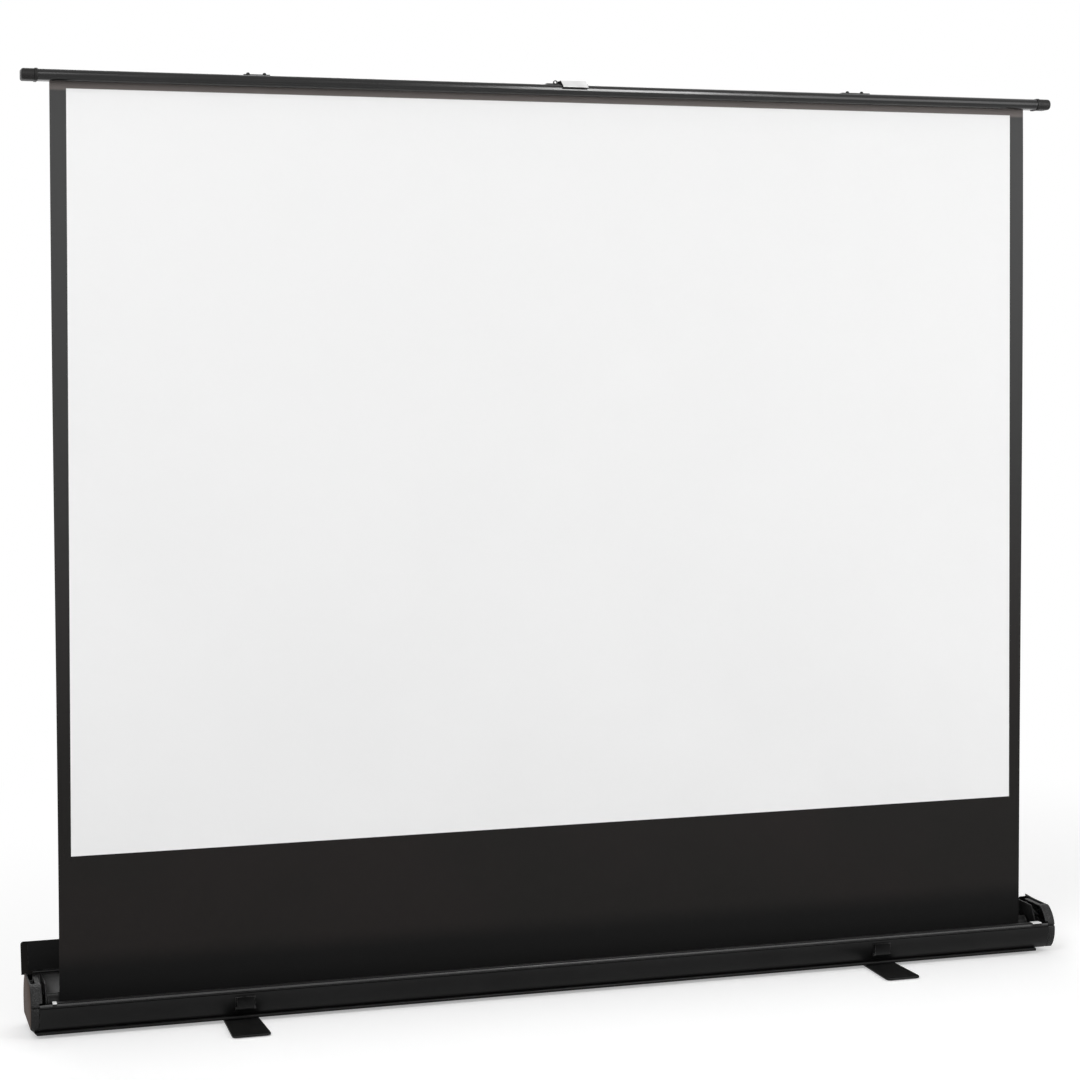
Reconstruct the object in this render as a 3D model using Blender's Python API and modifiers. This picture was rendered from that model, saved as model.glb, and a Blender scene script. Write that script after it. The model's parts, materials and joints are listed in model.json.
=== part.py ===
# Floor-standing projector screen: a low case on two swivel feet, a sprung fabric roller, a top bar
# raised on two pairs of folding arms, and a narrow rear lid that covers the mouth of the case.
# Metres, +Z up. The screen faces -Y. The origin is on the floor, midway between the feet.

import bmesh
import bpy
from math import acos
from math import asin
from math import cos
from math import pi
from math import radians
from math import sin
from mathutils import Matrix
from mathutils import Vector

OBJECT_NAME = "projector_screen"

# Driving dimensions, read from the photograph
IMAGE_WIDTH = 2.032
IMAGE_HEIGHT = 1.500
IMAGE_BOTTOM = 0.343
SIDE_BORDER = 0.032
TOP_BORDER = 0.013
CASE_HALF_LENGTH = 1.100
CASE_TOP = 0.1025
FOOT_X = 0.690
FOOT_WIDTH = 0.076
FOOT_LENGTH = 0.378
BAR_HEIGHT = 0.022
BAR_HALF_LENGTH = 1.103

# Common gaps and wall thicknesses
GAP = 0.0003
SHEET = 0.002
CAP_WIDTH = 0.0165
CAP_WALL = 0.0025

# Case section: two bulged sides, each one arc, between a flat top and a flat bottom
SIDE_RADIUS = 0.054
SIDE_CENTRE_Y = 0.029
SIDE_CENTRE_Z = 0.0535
CASE_BOTTOM = 0.0138
LIP_TOP = 0.0688
LIP_RADIUS = 0.0019
BACK_WALL_TOP = 0.0945
GROOVE_LOW = 0.0612
GROOVE_HIGH = 0.0650
GROOVE_DEPTH = 0.0014

# Left end: the lowest corner of the cap and the rail below it are cut off on one slope
CHAMFER_HIGH = (-1.1000, 0.0213)
CHAMFER_LOW = (-1.0865, 0.0075)

# Guard strip and its pale ends, behind the front wall's top edge
GUARD_LEFT = -1.0500
GUARD_RIGHT = 1.0450
GUARD_TOP = 0.0712
GUARD_BACK = -0.0668
GUARD_WALL = 0.0016

# Feet and the rail that carries them
PAD_HEIGHT = 0.0015
FOOT_BOTTOM = PAD_HEIGHT + GAP
FOOT_THICKNESS = 0.0045
RAIL_BOTTOM = 0.0075
RAIL_TOP = CASE_BOTTOM - GAP
RAIL_HALF_DEPTH = 0.072
RAIL_WALL = 0.0018
RAIL_LEFT = -1.0927
RAIL_RIGHT = 1.059
FOOT_BOLT_RADIUS = 0.005

# Roller and fabric
FABRIC_Y = -0.024
FABRIC_THICKNESS = 0.0006
FABRIC_BOTTOM = 0.056
WRAP_RADIUS = 0.0187
TUBE_RADIUS = 0.0175
ROLLER_Y = FABRIC_Y + FABRIC_THICKNESS / 2 + GAP + WRAP_RADIUS
ROLLER_Z = 0.0545
ROLLER_HALF_LENGTH = 1.060
PLUG_DEPTH = 0.0240
BRACKET_X = 1.0665
BRACKET_THICKNESS = 0.003
GUDGEON_RADIUS = 0.004
GUDGEON_HEAD_RADIUS = 0.0085

# Top bar: its underside is where the fabric enters it
BAR_BOTTOM = IMAGE_BOTTOM + IMAGE_HEIGHT + TOP_BORDER
BAR_TOP = BAR_BOTTOM + BAR_HEIGHT
BAR_FRONT = -0.052
BAR_BACK = -0.012
BAR_WALL = 0.0018
COLLAR_X = 1.0745
COLLAR_WIDTH = 0.006

# Folding arms: four flat bars, each in its own layer behind the fabric
ARM_THICKNESS = 0.004
ARM_HEIGHT = 0.016
ARM_LENGTH = 1.200
ARM_PITCH = 0.0055
ARM_FIRST_Y = -0.018
ARM_PIVOT_X = 0.645
BASE_PIVOT_Z = 0.0905
FOLDED_BAR_BOTTOM = 0.1040
TOP_PIVOT_DROP = FOLDED_BAR_BOTTOM - BASE_PIVOT_Z
TOP_PIVOT_Z = BAR_BOTTOM - TOP_PIVOT_DROP
RAISED_ANGLE = asin((TOP_PIVOT_Z - BASE_PIVOT_Z) / (2 * ARM_LENGTH))
PIVOT_RADIUS = 0.0030
PIVOT_CLEARANCE = 0.0003
STUD_Y = 0.0385
STUD_Z = 0.0640
STUD_RADIUS = 0.0095
STUD_HEAD_RADIUS = 0.0135
STUD_LENGTH = 0.0180

# Rear lid
LID_AXIS_Y = 0.0635
LID_AXIS_Z = 0.0998
LID_LEAN = radians(17)
LID_WIDTH = 0.0618
LID_THICKNESS = 0.0022
LID_SET_BACK = 0.0032
LID_LEFT = -1.105
LID_RIGHT = 1.072
LID_FOOT = 0.0040
LID_END_LEFT_WIDTH = 0.0140
LID_END_RIGHT_WIDTH = 0.0060
BEAD_RADIUS = 0.0028
CLAW_INNER = 0.0031
CLAW_OUTER = 0.0048

# Front latches and the centre grip
LATCH_X = 0.685
LATCH_WIDTH = 0.040
LATCH_PIVOT_Z = 0.0315
LATCH_PIVOT_REACH = 0.0052
LATCH_PLATE = 0.0014
GRIP_LEFT = -0.020
GRIP_RIGHT = 0.042
GRIP_BASE_LEFT = -0.047

ROUND_STEPS = 24


# Collections and materials


def new_collection(name):
    collection = bpy.data.collections.new(name)
    bpy.context.scene.collection.children.link(collection)
    return collection


def material(name, color, roughness, metallic=0.0):
    made = bpy.data.materials.new(name)
    made.use_nodes = True
    shader = made.node_tree.nodes["Principled BSDF"]
    shader.inputs["Base Color"].default_value = (*color, 1.0)
    shader.inputs["Roughness"].default_value = roughness
    shader.inputs["Metallic"].default_value = metallic
    return made


def finish(obj, look):
    """Put a finished piece in the part's collection, with its own copy of its finish."""
    for collection in list(obj.users_collection):
        collection.objects.unlink(obj)
    part_collection.objects.link(obj)
    color, roughness, metallic = LOOKS[look]
    obj.data.materials.clear()
    obj.data.materials.append(material(obj.name, color, roughness, metallic))
    if obj.type == "MESH":
        obj.data.shade_smooth()
        obj.data.set_sharp_from_angle(angle=radians(32))
    return obj


LOOKS = {
    "powder coat": ((0.020, 0.020, 0.021), 0.42, 0.0),
    "moulding": ((0.030, 0.027, 0.026), 0.50, 0.0),
    "steel": ((0.45, 0.46, 0.47), 0.32, 1.0),
    "black steel": ((0.018, 0.018, 0.018), 0.45, 0.0),
    "nylon": ((0.80, 0.80, 0.78), 0.45, 0.0),
    "rubber": ((0.012, 0.012, 0.012), 0.85, 0.0),
    "fabric": ((0.80, 0.80, 0.80), 0.90, 0.0),
    "wound fabric": ((0.020, 0.020, 0.020), 0.85, 0.0),
    "plate": ((0.62, 0.63, 0.64), 0.40, 0.0),
}


# Modelling helpers


def link(obj):
    bpy.context.scene.collection.objects.link(obj)
    return obj


def object_from_mesh(name, bm):
    mesh = bpy.data.meshes.new(name)
    bm.to_mesh(mesh)
    bm.free()
    return link(bpy.data.objects.new(name, mesh))


SECTION_AXES = {
    "x": Matrix(((0, 0, 1, 0), (1, 0, 0, 0), (0, 1, 0, 0), (0, 0, 0, 1))),
    "y": Matrix(((1, 0, 0, 0), (0, 0, -1, 0), (0, 1, 0, 0), (0, 0, 0, 1))),
    "z": Matrix.Identity(4),
}


def extrusion(name, axis, low, high, *outlines):
    """Extrude a closed outline along an axis; further outlines inside the first one are holes.

    Outlines are (y, z) for the x axis, (x, z) for the y axis and (x, y) for the z axis.
    """
    curve = bpy.data.curves.new(name, "CURVE")
    curve.dimensions = "2D"
    curve.fill_mode = "BOTH"
    curve.extrude = (high - low) / 2
    for outline in outlines:
        spline = curve.splines.new("POLY")
        spline.points.add(len(outline) - 1)
        for point, (u, v) in zip(spline.points, outline):
            point.co = (u, v, 0.0, 1.0)
        spline.use_cyclic_u = True
    holder = link(bpy.data.objects.new(name, curve))
    holder.matrix_world = SECTION_AXES[axis]
    holder.location["xyz".index(axis)] = (low + high) / 2
    return welded_mesh(holder)


def welded_mesh(holder):
    """Turn a curve object into a mesh object with its caps joined to its sides."""
    bpy.context.view_layer.update()
    depsgraph = bpy.context.evaluated_depsgraph_get()
    mesh = bpy.data.meshes.new_from_object(holder.evaluated_get(depsgraph))
    bm = bmesh.new()
    bm.from_mesh(mesh)
    bmesh.ops.remove_doubles(bm, verts=bm.verts, dist=0.00002)
    bmesh.ops.recalc_face_normals(bm, faces=bm.faces)
    bm.to_mesh(mesh)
    bm.free()
    obj = link(bpy.data.objects.new(holder.name, mesh))
    obj.matrix_world = holder.matrix_world.copy()
    name = holder.name
    bpy.data.objects.remove(holder)
    obj.name = name
    return obj


def cylinder(name, start, end, radius, steps=ROUND_STEPS):
    start = Vector(start)
    end = Vector(end)
    bm = bmesh.new()
    bmesh.ops.create_cone(
        bm, cap_ends=True, segments=steps, radius1=radius, radius2=radius, depth=(end - start).length
    )
    obj = object_from_mesh(name, bm)
    obj.rotation_mode = "QUATERNION"
    obj.rotation_quaternion = (end - start).to_track_quat("Z", "Y")
    obj.location = (start + end) / 2
    return obj


def box(name, low, high):
    low = Vector(low)
    high = Vector(high)
    bm = bmesh.new()
    bmesh.ops.create_cube(bm, size=1.0)
    bmesh.ops.scale(bm, vec=high - low, verts=bm.verts)
    obj = object_from_mesh(name, bm)
    obj.location = (low + high) / 2
    return obj


def turned(name, profile, start, direction, steps=ROUND_STEPS, ring=False):
    """Turn a profile of (radius, height) points, listed from its far end down its outer side.

    A ring's profile is closed, from its last point back to its first.
    """
    mesh = bpy.data.meshes.new(name)
    points = [(radius, 0.0, height) for radius, height in profile]
    edges = [(i, i + 1) for i in range(len(points) - 1)]
    if ring:
        edges.append((len(points) - 1, 0))
    mesh.from_pydata(points, edges, [])
    obj = link(bpy.data.objects.new(name, mesh))
    screw = obj.modifiers.new("Turn", "SCREW")
    screw.steps = steps
    screw.render_steps = steps
    screw.use_merge_vertices = True
    screw.merge_threshold = 0.00001
    obj.rotation_mode = "QUATERNION"
    obj.rotation_quaternion = Vector(direction).to_track_quat("Z", "Y")
    obj.location = start
    return obj


def bevelled(obj, width, segments=2, angle=40):
    bevel = obj.modifiers.new("Bevel", "BEVEL")
    bevel.width = width
    bevel.segments = segments
    bevel.limit_method = "ANGLE"
    bevel.angle_limit = radians(angle)
    return obj


def boolean(obj, tool, operation):
    """Join a tool shape to a piece, or cut it away; the tool stays in the cutter collection."""
    modifier = obj.modifiers.new(tool.name, "BOOLEAN")
    modifier.operation = operation
    modifier.object = tool
    modifier.solver = "EXACT"
    for collection in list(tool.users_collection):
        collection.objects.unlink(tool)
    cutter_collection.objects.link(tool)
    tool.hide_render = True
    tool.display_type = "WIRE"
    return obj


def cut(obj, tool):
    return boolean(obj, tool, "DIFFERENCE")


def join(obj, tool):
    return boolean(obj, tool, "UNION")


def sided(name, side):
    return name + ("_left" if side < 0 else "_right")


def pivot(name, location):
    """An empty on a joint's axis, to carry everything that turns about it."""
    empty = bpy.data.objects.new(name, None)
    empty.empty_display_size = 0.03
    empty.location = location
    part_collection.objects.link(empty)
    return empty


def carry(parent, *children):
    bpy.context.view_layer.update()
    for child in children:
        child.parent = parent
        child.matrix_parent_inverse = parent.matrix_world.inverted()


# Section outlines


def arc(centre, radius, start, end, count):
    """Points of an arc from one angle to another, in degrees, both ends included."""
    angles = [radians(start + (end - start) * i / count) for i in range(count + 1)]
    return [(centre[0] + radius * cos(a), centre[1] + radius * sin(a)) for a in angles]


def side_angle(z, radius=SIDE_RADIUS):
    """The angle on a side's arc, in degrees above the horizontal, at which it reaches height z."""
    return asin((z - SIDE_CENTRE_Z) / radius) * 180 / pi


def front_side(z_from, z_to, radius=SIDE_RADIUS, count=10):
    start = 180 - side_angle(z_from, radius)
    end = 180 - side_angle(z_to, radius)
    return arc((-SIDE_CENTRE_Y, SIDE_CENTRE_Z), radius, start, end, count)


def back_side(z_from, z_to, radius=SIDE_RADIUS, count=10):
    return [(-y, z) for y, z in front_side(z_from, z_to, radius, count)]


def rounded_rectangle(low, high, radius, count=3):
    corners = [
        ((high[0] - radius, high[1] - radius), 0),
        ((low[0] + radius, high[1] - radius), 90),
        ((low[0] + radius, low[1] + radius), 180),
        ((high[0] - radius, low[1] + radius), 270),
    ]
    points = []
    for centre, turn in corners:
        points += arc(centre, radius, turn, turn + 90, count)
    return points


def circle(centre, radius, count=ROUND_STEPS):
    return arc(centre, radius, 0, 360 * (count - 1) / count, count - 1)


def slot_outline(start, end, radius, count=8):
    """A bar with round ends from one point to another."""
    turn = Vector((end[0] - start[0], end[1] - start[1])).angle_signed(Vector((1, 0))) * 180 / pi
    return arc(end, radius, turn - 90, turn + 90, count) + arc(start, radius, turn + 90, turn + 270, count)


# Case


def case_tray():
    """One extrusion: a convex front wall with a grooved top edge, a floor and a taller back wall."""
    inner = SIDE_RADIUS - SHEET
    floor = CASE_BOTTOM + SHEET
    outline = groove(wall_y, GROOVE_HIGH, GROOVE_LOW)
    outline += front_side(GROOVE_LOW, CASE_BOTTOM)
    outline += back_side(CASE_BOTTOM, BACK_WALL_TOP)
    outline += [(LID_AXIS_Y - 0.0013, BACK_WALL_TOP)]
    outline += arc((LID_AXIS_Y, LID_AXIS_Z), BEAD_RADIUS, -99, 232, 16)
    outline += back_side(BACK_WALL_TOP, floor, inner)
    outline += front_side(floor, GROOVE_LOW - 0.0012, inner)
    outline += groove(inner_wall_y, GROOVE_LOW - 0.0004, GROOVE_HIGH + 0.0008)
    outline += arc(lip_centre(), LIP_RADIUS, 0, 180, 8)
    half = CASE_HALF_LENGTH - CAP_WIDTH - GAP
    tray = extrusion("case_tray", "x", -half, half, outline)
    end = half - GAP
    rib = box("floor_rib", (-end, 0.0195, floor - SHEET / 2), (end, 0.0220, floor + 0.0045))
    join(tray, rib)
    return finish(tray, "powder coat")


def wall_y(z, radius=SIDE_RADIUS):
    """How far forward the front wall's outer face is at a height."""
    return -SIDE_CENTRE_Y - radius * cos(radians(side_angle(z, radius)))


def inner_wall_y(z):
    return wall_y(z, SIDE_RADIUS - SHEET)


def groove(face_y, z_from, z_to):
    """One face of the shallow groove that runs along the front wall, just below its top edge."""
    slope = 0.0003 if z_to > z_from else -0.0003
    return [
        (face_y(z_from), z_from),
        (face_y(z_from) + GROOVE_DEPTH, z_from + slope),
        (face_y(z_to) + GROOVE_DEPTH, z_to - slope),
        (face_y(z_to), z_to),
    ]


def lip_centre():
    """The middle of the front wall's rounded top edge, flush with the wall's outer face."""
    z = LIP_TOP - LIP_RADIUS
    return wall_y(z) + LIP_RADIUS, z


def cap_outline(inset=0.0, notch=True):
    """The end cap's profile: flat bottom, bulged sides with a parting notch in front, flat top."""
    radius = SIDE_RADIUS - inset
    bottom = CASE_BOTTOM + inset
    top = CASE_TOP - inset
    notch_z = (GROOVE_LOW + GROOVE_HIGH) / 2
    front_low = front_side(GROOVE_LOW - 0.0006, bottom, radius, 6)
    front_high = front_side(top, GROOVE_HIGH + 0.0006, radius, 6)
    notch_points = [(wall_y(notch_z, radius) + 0.0036, notch_z)] if notch else []
    return front_high + notch_points + front_low + back_side(bottom, top, radius, 12)


def end_cap(side):
    """A moulded cap: an outer wall, a rim that is open on top, a roller boss and a cradle ridge."""
    name = sided("end_cap", side)
    outer = side * CASE_HALF_LENGTH
    inner = side * (CASE_HALF_LENGTH - CAP_WIDTH)
    pocket_floor = side * (CASE_HALF_LENGTH - 0.0035)
    cap = extrusion(name, "x", min(outer, inner), max(outer, inner), cap_outline())
    bevelled(cap, 0.0016, 2, 60)
    pocket_mouth = inner - side * 0.004
    low = min(pocket_floor, pocket_mouth)
    high = max(pocket_floor, pocket_mouth)
    cut(cap, extrusion(name + "_pocket", "x", low, high, cap_outline(CAP_WALL, False)))
    rib_low = min(pocket_floor, inner + side * 0.002)
    rib_high = max(pocket_floor, inner + side * 0.002)
    boss = circle((ROLLER_Y, ROLLER_Z), 0.0125)
    bore = circle((ROLLER_Y, ROLLER_Z), GUDGEON_HEAD_RADIUS + GAP)
    join(cap, extrusion(name + "_boss", "x", rib_low - 0.0005, rib_high + 0.0005, boss, bore))
    ridge = arc((-0.012, 0.0935), 0.0225, 0, -98, 10) + arc((-0.012, 0.0935), 0.0200, -98, 0, 10)
    join(cap, extrusion(name + "_cradle", "x", rib_low - 0.0005, rib_high + 0.0005, ridge))
    for y, z in ((-0.052, 0.036), (0.052, 0.036), (0.034, 0.088)):
        post = circle((y, z), 0.0045, 12)
        join(cap, extrusion(name + "_post", "x", rib_low - 0.0005, rib_high + 0.0005, post))
    open_low = (min(pocket_floor, pocket_mouth), -0.040, CASE_TOP - CAP_WALL - 0.0008)
    open_high = (max(pocket_floor, pocket_mouth), 0.060, CASE_TOP + 0.002)
    cut(cap, box(name + "_open_top", open_low, open_high))
    if side < 0:
        fillet_low = CASE_BOTTOM + CAP_WALL / 2
        fillet = [(-1.0975, fillet_low), (-1.0890, fillet_low), (-1.0975, fillet_low + 0.0085)]
        join(cap, extrusion(name + "_fillet", "y", -0.0640, 0.0640, fillet))
        cut(cap, sloped_corner(name + "_slope", 0.080))
    return finish(cap, "moulding")


def sloped_corner(name, half_depth):
    """A wedge that cuts the left end's lowest corner off, on the slope from cap to rail."""
    run = Vector(CHAMFER_LOW) - Vector(CHAMFER_HIGH)
    above = Vector(CHAMFER_HIGH) - run * 0.3
    below = Vector(CHAMFER_LOW) + run * 0.3
    outline = [tuple(above), (above.x, below.y), tuple(below)]
    return extrusion(name, "y", -half_depth, half_depth, outline)


def base_rail():
    """A shallow channel, open downwards, with a boss for each foot's bolt."""
    outer = rounded_rectangle((-RAIL_HALF_DEPTH, RAIL_BOTTOM), (RAIL_HALF_DEPTH, RAIL_TOP), 0.0015, 2)
    rail = extrusion("base_rail", "x", RAIL_LEFT, RAIL_RIGHT, outer)
    hollow_half = RAIL_HALF_DEPTH - RAIL_WALL
    low = (RAIL_LEFT - 0.002, -hollow_half, RAIL_BOTTOM - 0.002)
    high = (RAIL_RIGHT + 0.002, hollow_half, RAIL_TOP - RAIL_WALL)
    cut(rail, box("rail_hollow", low, high))
    for side in (-1, 1):
        start = (side * FOOT_X, 0, RAIL_BOTTOM)
        boss = cylinder("rail_boss", start, (side * FOOT_X, 0, RAIL_TOP - RAIL_WALL / 2), 0.014)
        join(rail, boss)
        hole = cylinder(
            "rail_bolt_hole",
            (side * FOOT_X, 0, RAIL_BOTTOM - 0.002),
            (side * FOOT_X, 0, RAIL_TOP + 0.002),
            FOOT_BOLT_RADIUS + GAP,
        )
        cut(rail, hole)
    cut(rail, sloped_corner("rail_slope", 0.080))
    return finish(rail, "powder coat")


def lip_guard():
    """A strip clipped behind the wall's top edge: a leg inside the wall and a short roof behind it."""
    front = lip_centre()[0] + LIP_RADIUS + GAP
    foot = GROOVE_LOW - 0.0020
    nose = arc((front + 0.0020, GUARD_TOP - 0.0020), 0.0020, 180, 90, 4)
    roof = [(GUARD_BACK - 0.0006, GUARD_TOP - 0.0003), (GUARD_BACK, GUARD_TOP - 0.0010)]
    roof += [(GUARD_BACK - 0.0006, GUARD_TOP - 0.0018), (front + 0.0027, GUARD_TOP - GUARD_WALL)]
    leg = [(front + GUARD_WALL, GUARD_TOP - 0.0025), (front + GUARD_WALL, foot), (front, foot)]
    return finish(extrusion("lip_guard", "x", GUARD_LEFT, GUARD_RIGHT, nose + roof + leg), "powder coat")


def lip_glide(side):
    """A pale nylon piece clipped over the wall's top edge, at an end of the guard strip."""
    low, high = (-1.0585, GUARD_LEFT - GAP) if side < 0 else (GUARD_RIGHT + GAP, 1.0670)
    centre_y, centre_z = lip_centre()
    seat = LIP_RADIUS + GAP
    wall = 0.0012
    low_z = GROOVE_HIGH + 0.0004
    low_y = wall_y(low_z) - GAP
    front = low_y - wall
    back = centre_y + seat + GUARD_WALL
    foot = GROOVE_LOW - 0.0020
    outline = [(front, low_z)]
    outline += arc((front + 0.0016, GUARD_TOP - 0.0012), 0.0016, 180, 90, 3)
    outline += [(GUARD_BACK, GUARD_TOP + 0.0004), (GUARD_BACK, GUARD_TOP - 0.0018)]
    outline += [(back, GUARD_TOP - 0.0022), (back, foot), (back - GUARD_WALL, foot)]
    outline += arc((centre_y, centre_z), seat, 0, 180, 8)
    outline += [(low_y, low_z)]
    return finish(extrusion(sided("lip_glide", side), "x", low, high, outline), "nylon")


# Feet


def foot_outline():
    """A flat blade, a little wider at its two ends than at its middle, with rounded corners."""
    half = FOOT_LENGTH / 2
    wide = FOOT_WIDTH / 2
    waist = wide - 0.004
    corner = 0.010
    quarter = arc((wide - corner, half - corner), corner, 0, 90, 5)
    right_front = [(waist, 0.0), (waist, half * 0.35)] + quarter
    left_front = [(-x, y) for x, y in reversed(right_front)]
    back = [(-x, -y) for x, y in (right_front + left_front)][1:-1]
    return right_front + left_front + back


def foot(side):
    name = sided("foot", side)
    top = FOOT_BOTTOM + FOOT_THICKNESS
    hole = circle((0, 0), FOOT_BOLT_RADIUS + GAP)
    blade = extrusion(name, "z", FOOT_BOTTOM, top, foot_outline(), hole)
    blade.location.x = side * FOOT_X
    bevelled(blade, 0.0012, 2, 60)
    finish(blade, "black steel")
    pads = []
    for end, word in ((-1, "front"), (1, "back")):
        low = (side * FOOT_X - 0.030, end * (FOOT_LENGTH / 2 - 0.018) - 0.008)
        high = (side * FOOT_X + 0.030, end * (FOOT_LENGTH / 2 - 0.018) + 0.008)
        pad_name = sided("foot_pad_" + word, side)
        pad = extrusion(pad_name, "z", 0.0, PAD_HEIGHT, rounded_rectangle(low, high, 0.004))
        pads.append(finish(pad, "rubber"))
    carry(pivot(name + "_swivel", (side * FOOT_X, 0, FOOT_BOTTOM)), blade, *pads)


def foot_bolt(side):
    """A swivel bolt: a shank through the rail and a wide flat head under the foot."""
    low = PAD_HEIGHT / 2
    top = RAIL_TOP - low - 0.0006
    under = FOOT_BOTTOM - low - GAP
    head = 0.0105
    profile = [(0.0, top), (FOOT_BOLT_RADIUS, top), (FOOT_BOLT_RADIUS, under)]
    profile += [(head, under), (head, 0.0), (0.0, 0.0)]
    bolt = turned(sided("foot_bolt", side), profile, (side * FOOT_X, 0, low), (0, 0, 1))
    return finish(bolt, "steel")


# Roller


def roller_bracket(side):
    """A steel cheek that closes the tray's end inside the cap, with the roller's bearing hole."""
    name = sided("roller_bracket", side)
    inside = side * BRACKET_X
    outside = side * (BRACKET_X + BRACKET_THICKNESS)
    floor = CASE_BOTTOM + SHEET + GAP
    over_rib = floor + 0.0060
    outline = [(-0.0520, floor), (0.0175, floor), (0.0175, over_rib), (0.0240, over_rib), (0.0240, floor)]
    outline += [(0.0590, floor), (0.0680, 0.0320), (0.0690, 0.0600), (0.0630, 0.0860), (0.0575, 0.0945)]
    outline += [(0.0560, 0.0995), (-0.0280, 0.0995), (-0.0330, 0.0975), (-0.0480, 0.0730), (-0.0520, 0.0620)]
    hole = circle((ROLLER_Y, ROLLER_Z), GUDGEON_RADIUS + GAP)
    cheek = extrusion(name, "x", min(inside, outside), max(inside, outside), outline, hole)
    bevelled(cheek, 0.0005, 1, 60)
    return finish(cheek, "black steel")


def roller_parts():
    tube_ring = circle((ROLLER_Y, ROLLER_Z), TUBE_RADIUS, 32)
    tube_bore = circle((ROLLER_Y, ROLLER_Z), TUBE_RADIUS - 0.0015, 32)
    half = ROLLER_HALF_LENGTH
    tube = finish(extrusion("roller_tube", "x", -half, half, tube_ring, tube_bore), "powder coat")
    wrap_ring = circle((ROLLER_Y, ROLLER_Z), WRAP_RADIUS, 32)
    wrap_bore = circle((ROLLER_Y, ROLLER_Z), TUBE_RADIUS + GAP, 32)
    wrap_half = IMAGE_WIDTH / 2 + SIDE_BORDER - 0.007
    wraps = extrusion("fabric_wraps", "x", -wrap_half, wrap_half, wrap_ring, wrap_bore)
    finish(wraps, "wound fabric")
    plugs = []
    for side in (-1, 1):
        name = sided("roller_plug", side)
        seat = TUBE_RADIUS - 0.0015 - GAP
        bore = GUDGEON_RADIUS + GAP
        depth = PLUG_DEPTH
        flange = depth + 0.0025
        profile = [(bore, flange), (TUBE_RADIUS, flange), (TUBE_RADIUS, depth)]
        profile += [(seat, depth), (seat, 0.0), (bore, 0.0)]
        start = (side * (half + GAP - depth), ROLLER_Y, ROLLER_Z)
        plugs.append(finish(turned(name, profile, start, (side, 0, 0), ring=True), "moulding"))
    carry(pivot("roller_axis", (0, ROLLER_Y, ROLLER_Z)), tube, wraps, *plugs)


def gudgeon(side):
    """A fixed shaft through the cheek's hole into the plug; its round head sits in the cap's boss."""
    name = "idle_gudgeon" if side < 0 else "spring_shaft"
    reach = 0.030 if side < 0 else 0.330
    tip = CASE_HALF_LENGTH - 0.0045
    start = (side * tip, ROLLER_Y, ROLLER_Z)
    length = tip - ROLLER_HALF_LENGTH + reach
    stop = tip - BRACKET_X - BRACKET_THICKNESS - GAP
    profile = [
        (0.0, length),
        (GUDGEON_RADIUS - 0.0008, length),
        (GUDGEON_RADIUS, length - 0.0008),
        (GUDGEON_RADIUS, stop),
        (GUDGEON_HEAD_RADIUS, stop),
        (GUDGEON_HEAD_RADIUS, 0.0006),
        (GUDGEON_HEAD_RADIUS - 0.0006, 0.0),
        (0.0, 0.0),
    ]
    return finish(turned(name, profile, start, (-side, 0, 0)), "steel")


def roller_spring():
    """The torsion spring that winds the fabric in: one wire on the fixed shaft inside the tube."""
    turns = 18
    points_per_turn = 8
    wire_radius = 0.0011
    coil_radius = GUDGEON_RADIUS + GAP + wire_radius / cos(pi / points_per_turn)
    start = ROLLER_HALF_LENGTH + GAP - PLUG_DEPTH - GAP - wire_radius
    pitch = 0.0140
    curve = bpy.data.curves.new("roller_spring", "CURVE")
    curve.dimensions = "3D"
    curve.bevel_depth = wire_radius
    curve.bevel_resolution = 1
    curve.use_fill_caps = True
    spline = curve.splines.new("POLY")
    count = turns * points_per_turn
    spline.points.add(count)
    for i in range(count + 1):
        turn = 2 * pi * i / points_per_turn
        x = start - pitch * i / points_per_turn
        y = ROLLER_Y + coil_radius * cos(turn)
        z = ROLLER_Z + coil_radius * sin(turn)
        spline.points[i].co = (x, y, z, 1.0)
    print("roller_spring: least gap between its turns (mm)", round((pitch - 2 * wire_radius) * 1000, 2))
    return finish(link(bpy.data.objects.new("roller_spring", curve)), "steel")


def screen_fabric():
    """The sheet from the roller's front up into the top bar, its side edges drawn in a little."""
    top_half = IMAGE_WIDTH / 2 + SIDE_BORDER
    bottom_half = top_half - 0.008
    top = BAR_BOTTOM + 0.006
    rows = 10
    edge = []
    for i in range(rows + 1):
        share = i / rows
        belly = 0.004 * sin(pi * share)
        half = bottom_half + (top_half - bottom_half) * share
        edge.append((half + belly * (share - 0.35), FABRIC_BOTTOM + (top - FABRIC_BOTTOM) * share))
    outline = edge + [(-x, z) for x, z in reversed(edge)]
    low = FABRIC_Y - FABRIC_THICKNESS / 2
    sheet = extrusion("screen_fabric", "y", low, low + FABRIC_THICKNESS, outline)
    return finish(sheet, "fabric")


# Folding arms


def layer(index):
    """The middle of an arm's layer; the layers lie behind one another from the fabric backwards."""
    return ARM_FIRST_Y + index * ARM_PITCH


UPPER_LAYER = {-1: 0, 1: 2}
LOWER_LAYER = {-1: 1, 1: 3}


def elbow(side):
    """Where a side's two arms meet: the arms lean inwards, so that the two sides cross."""
    x = side * ARM_PIVOT_X - side * ARM_LENGTH * cos(RAISED_ANGLE)
    return x, BASE_PIVOT_Z + ARM_LENGTH * sin(RAISED_ANGLE)


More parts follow.
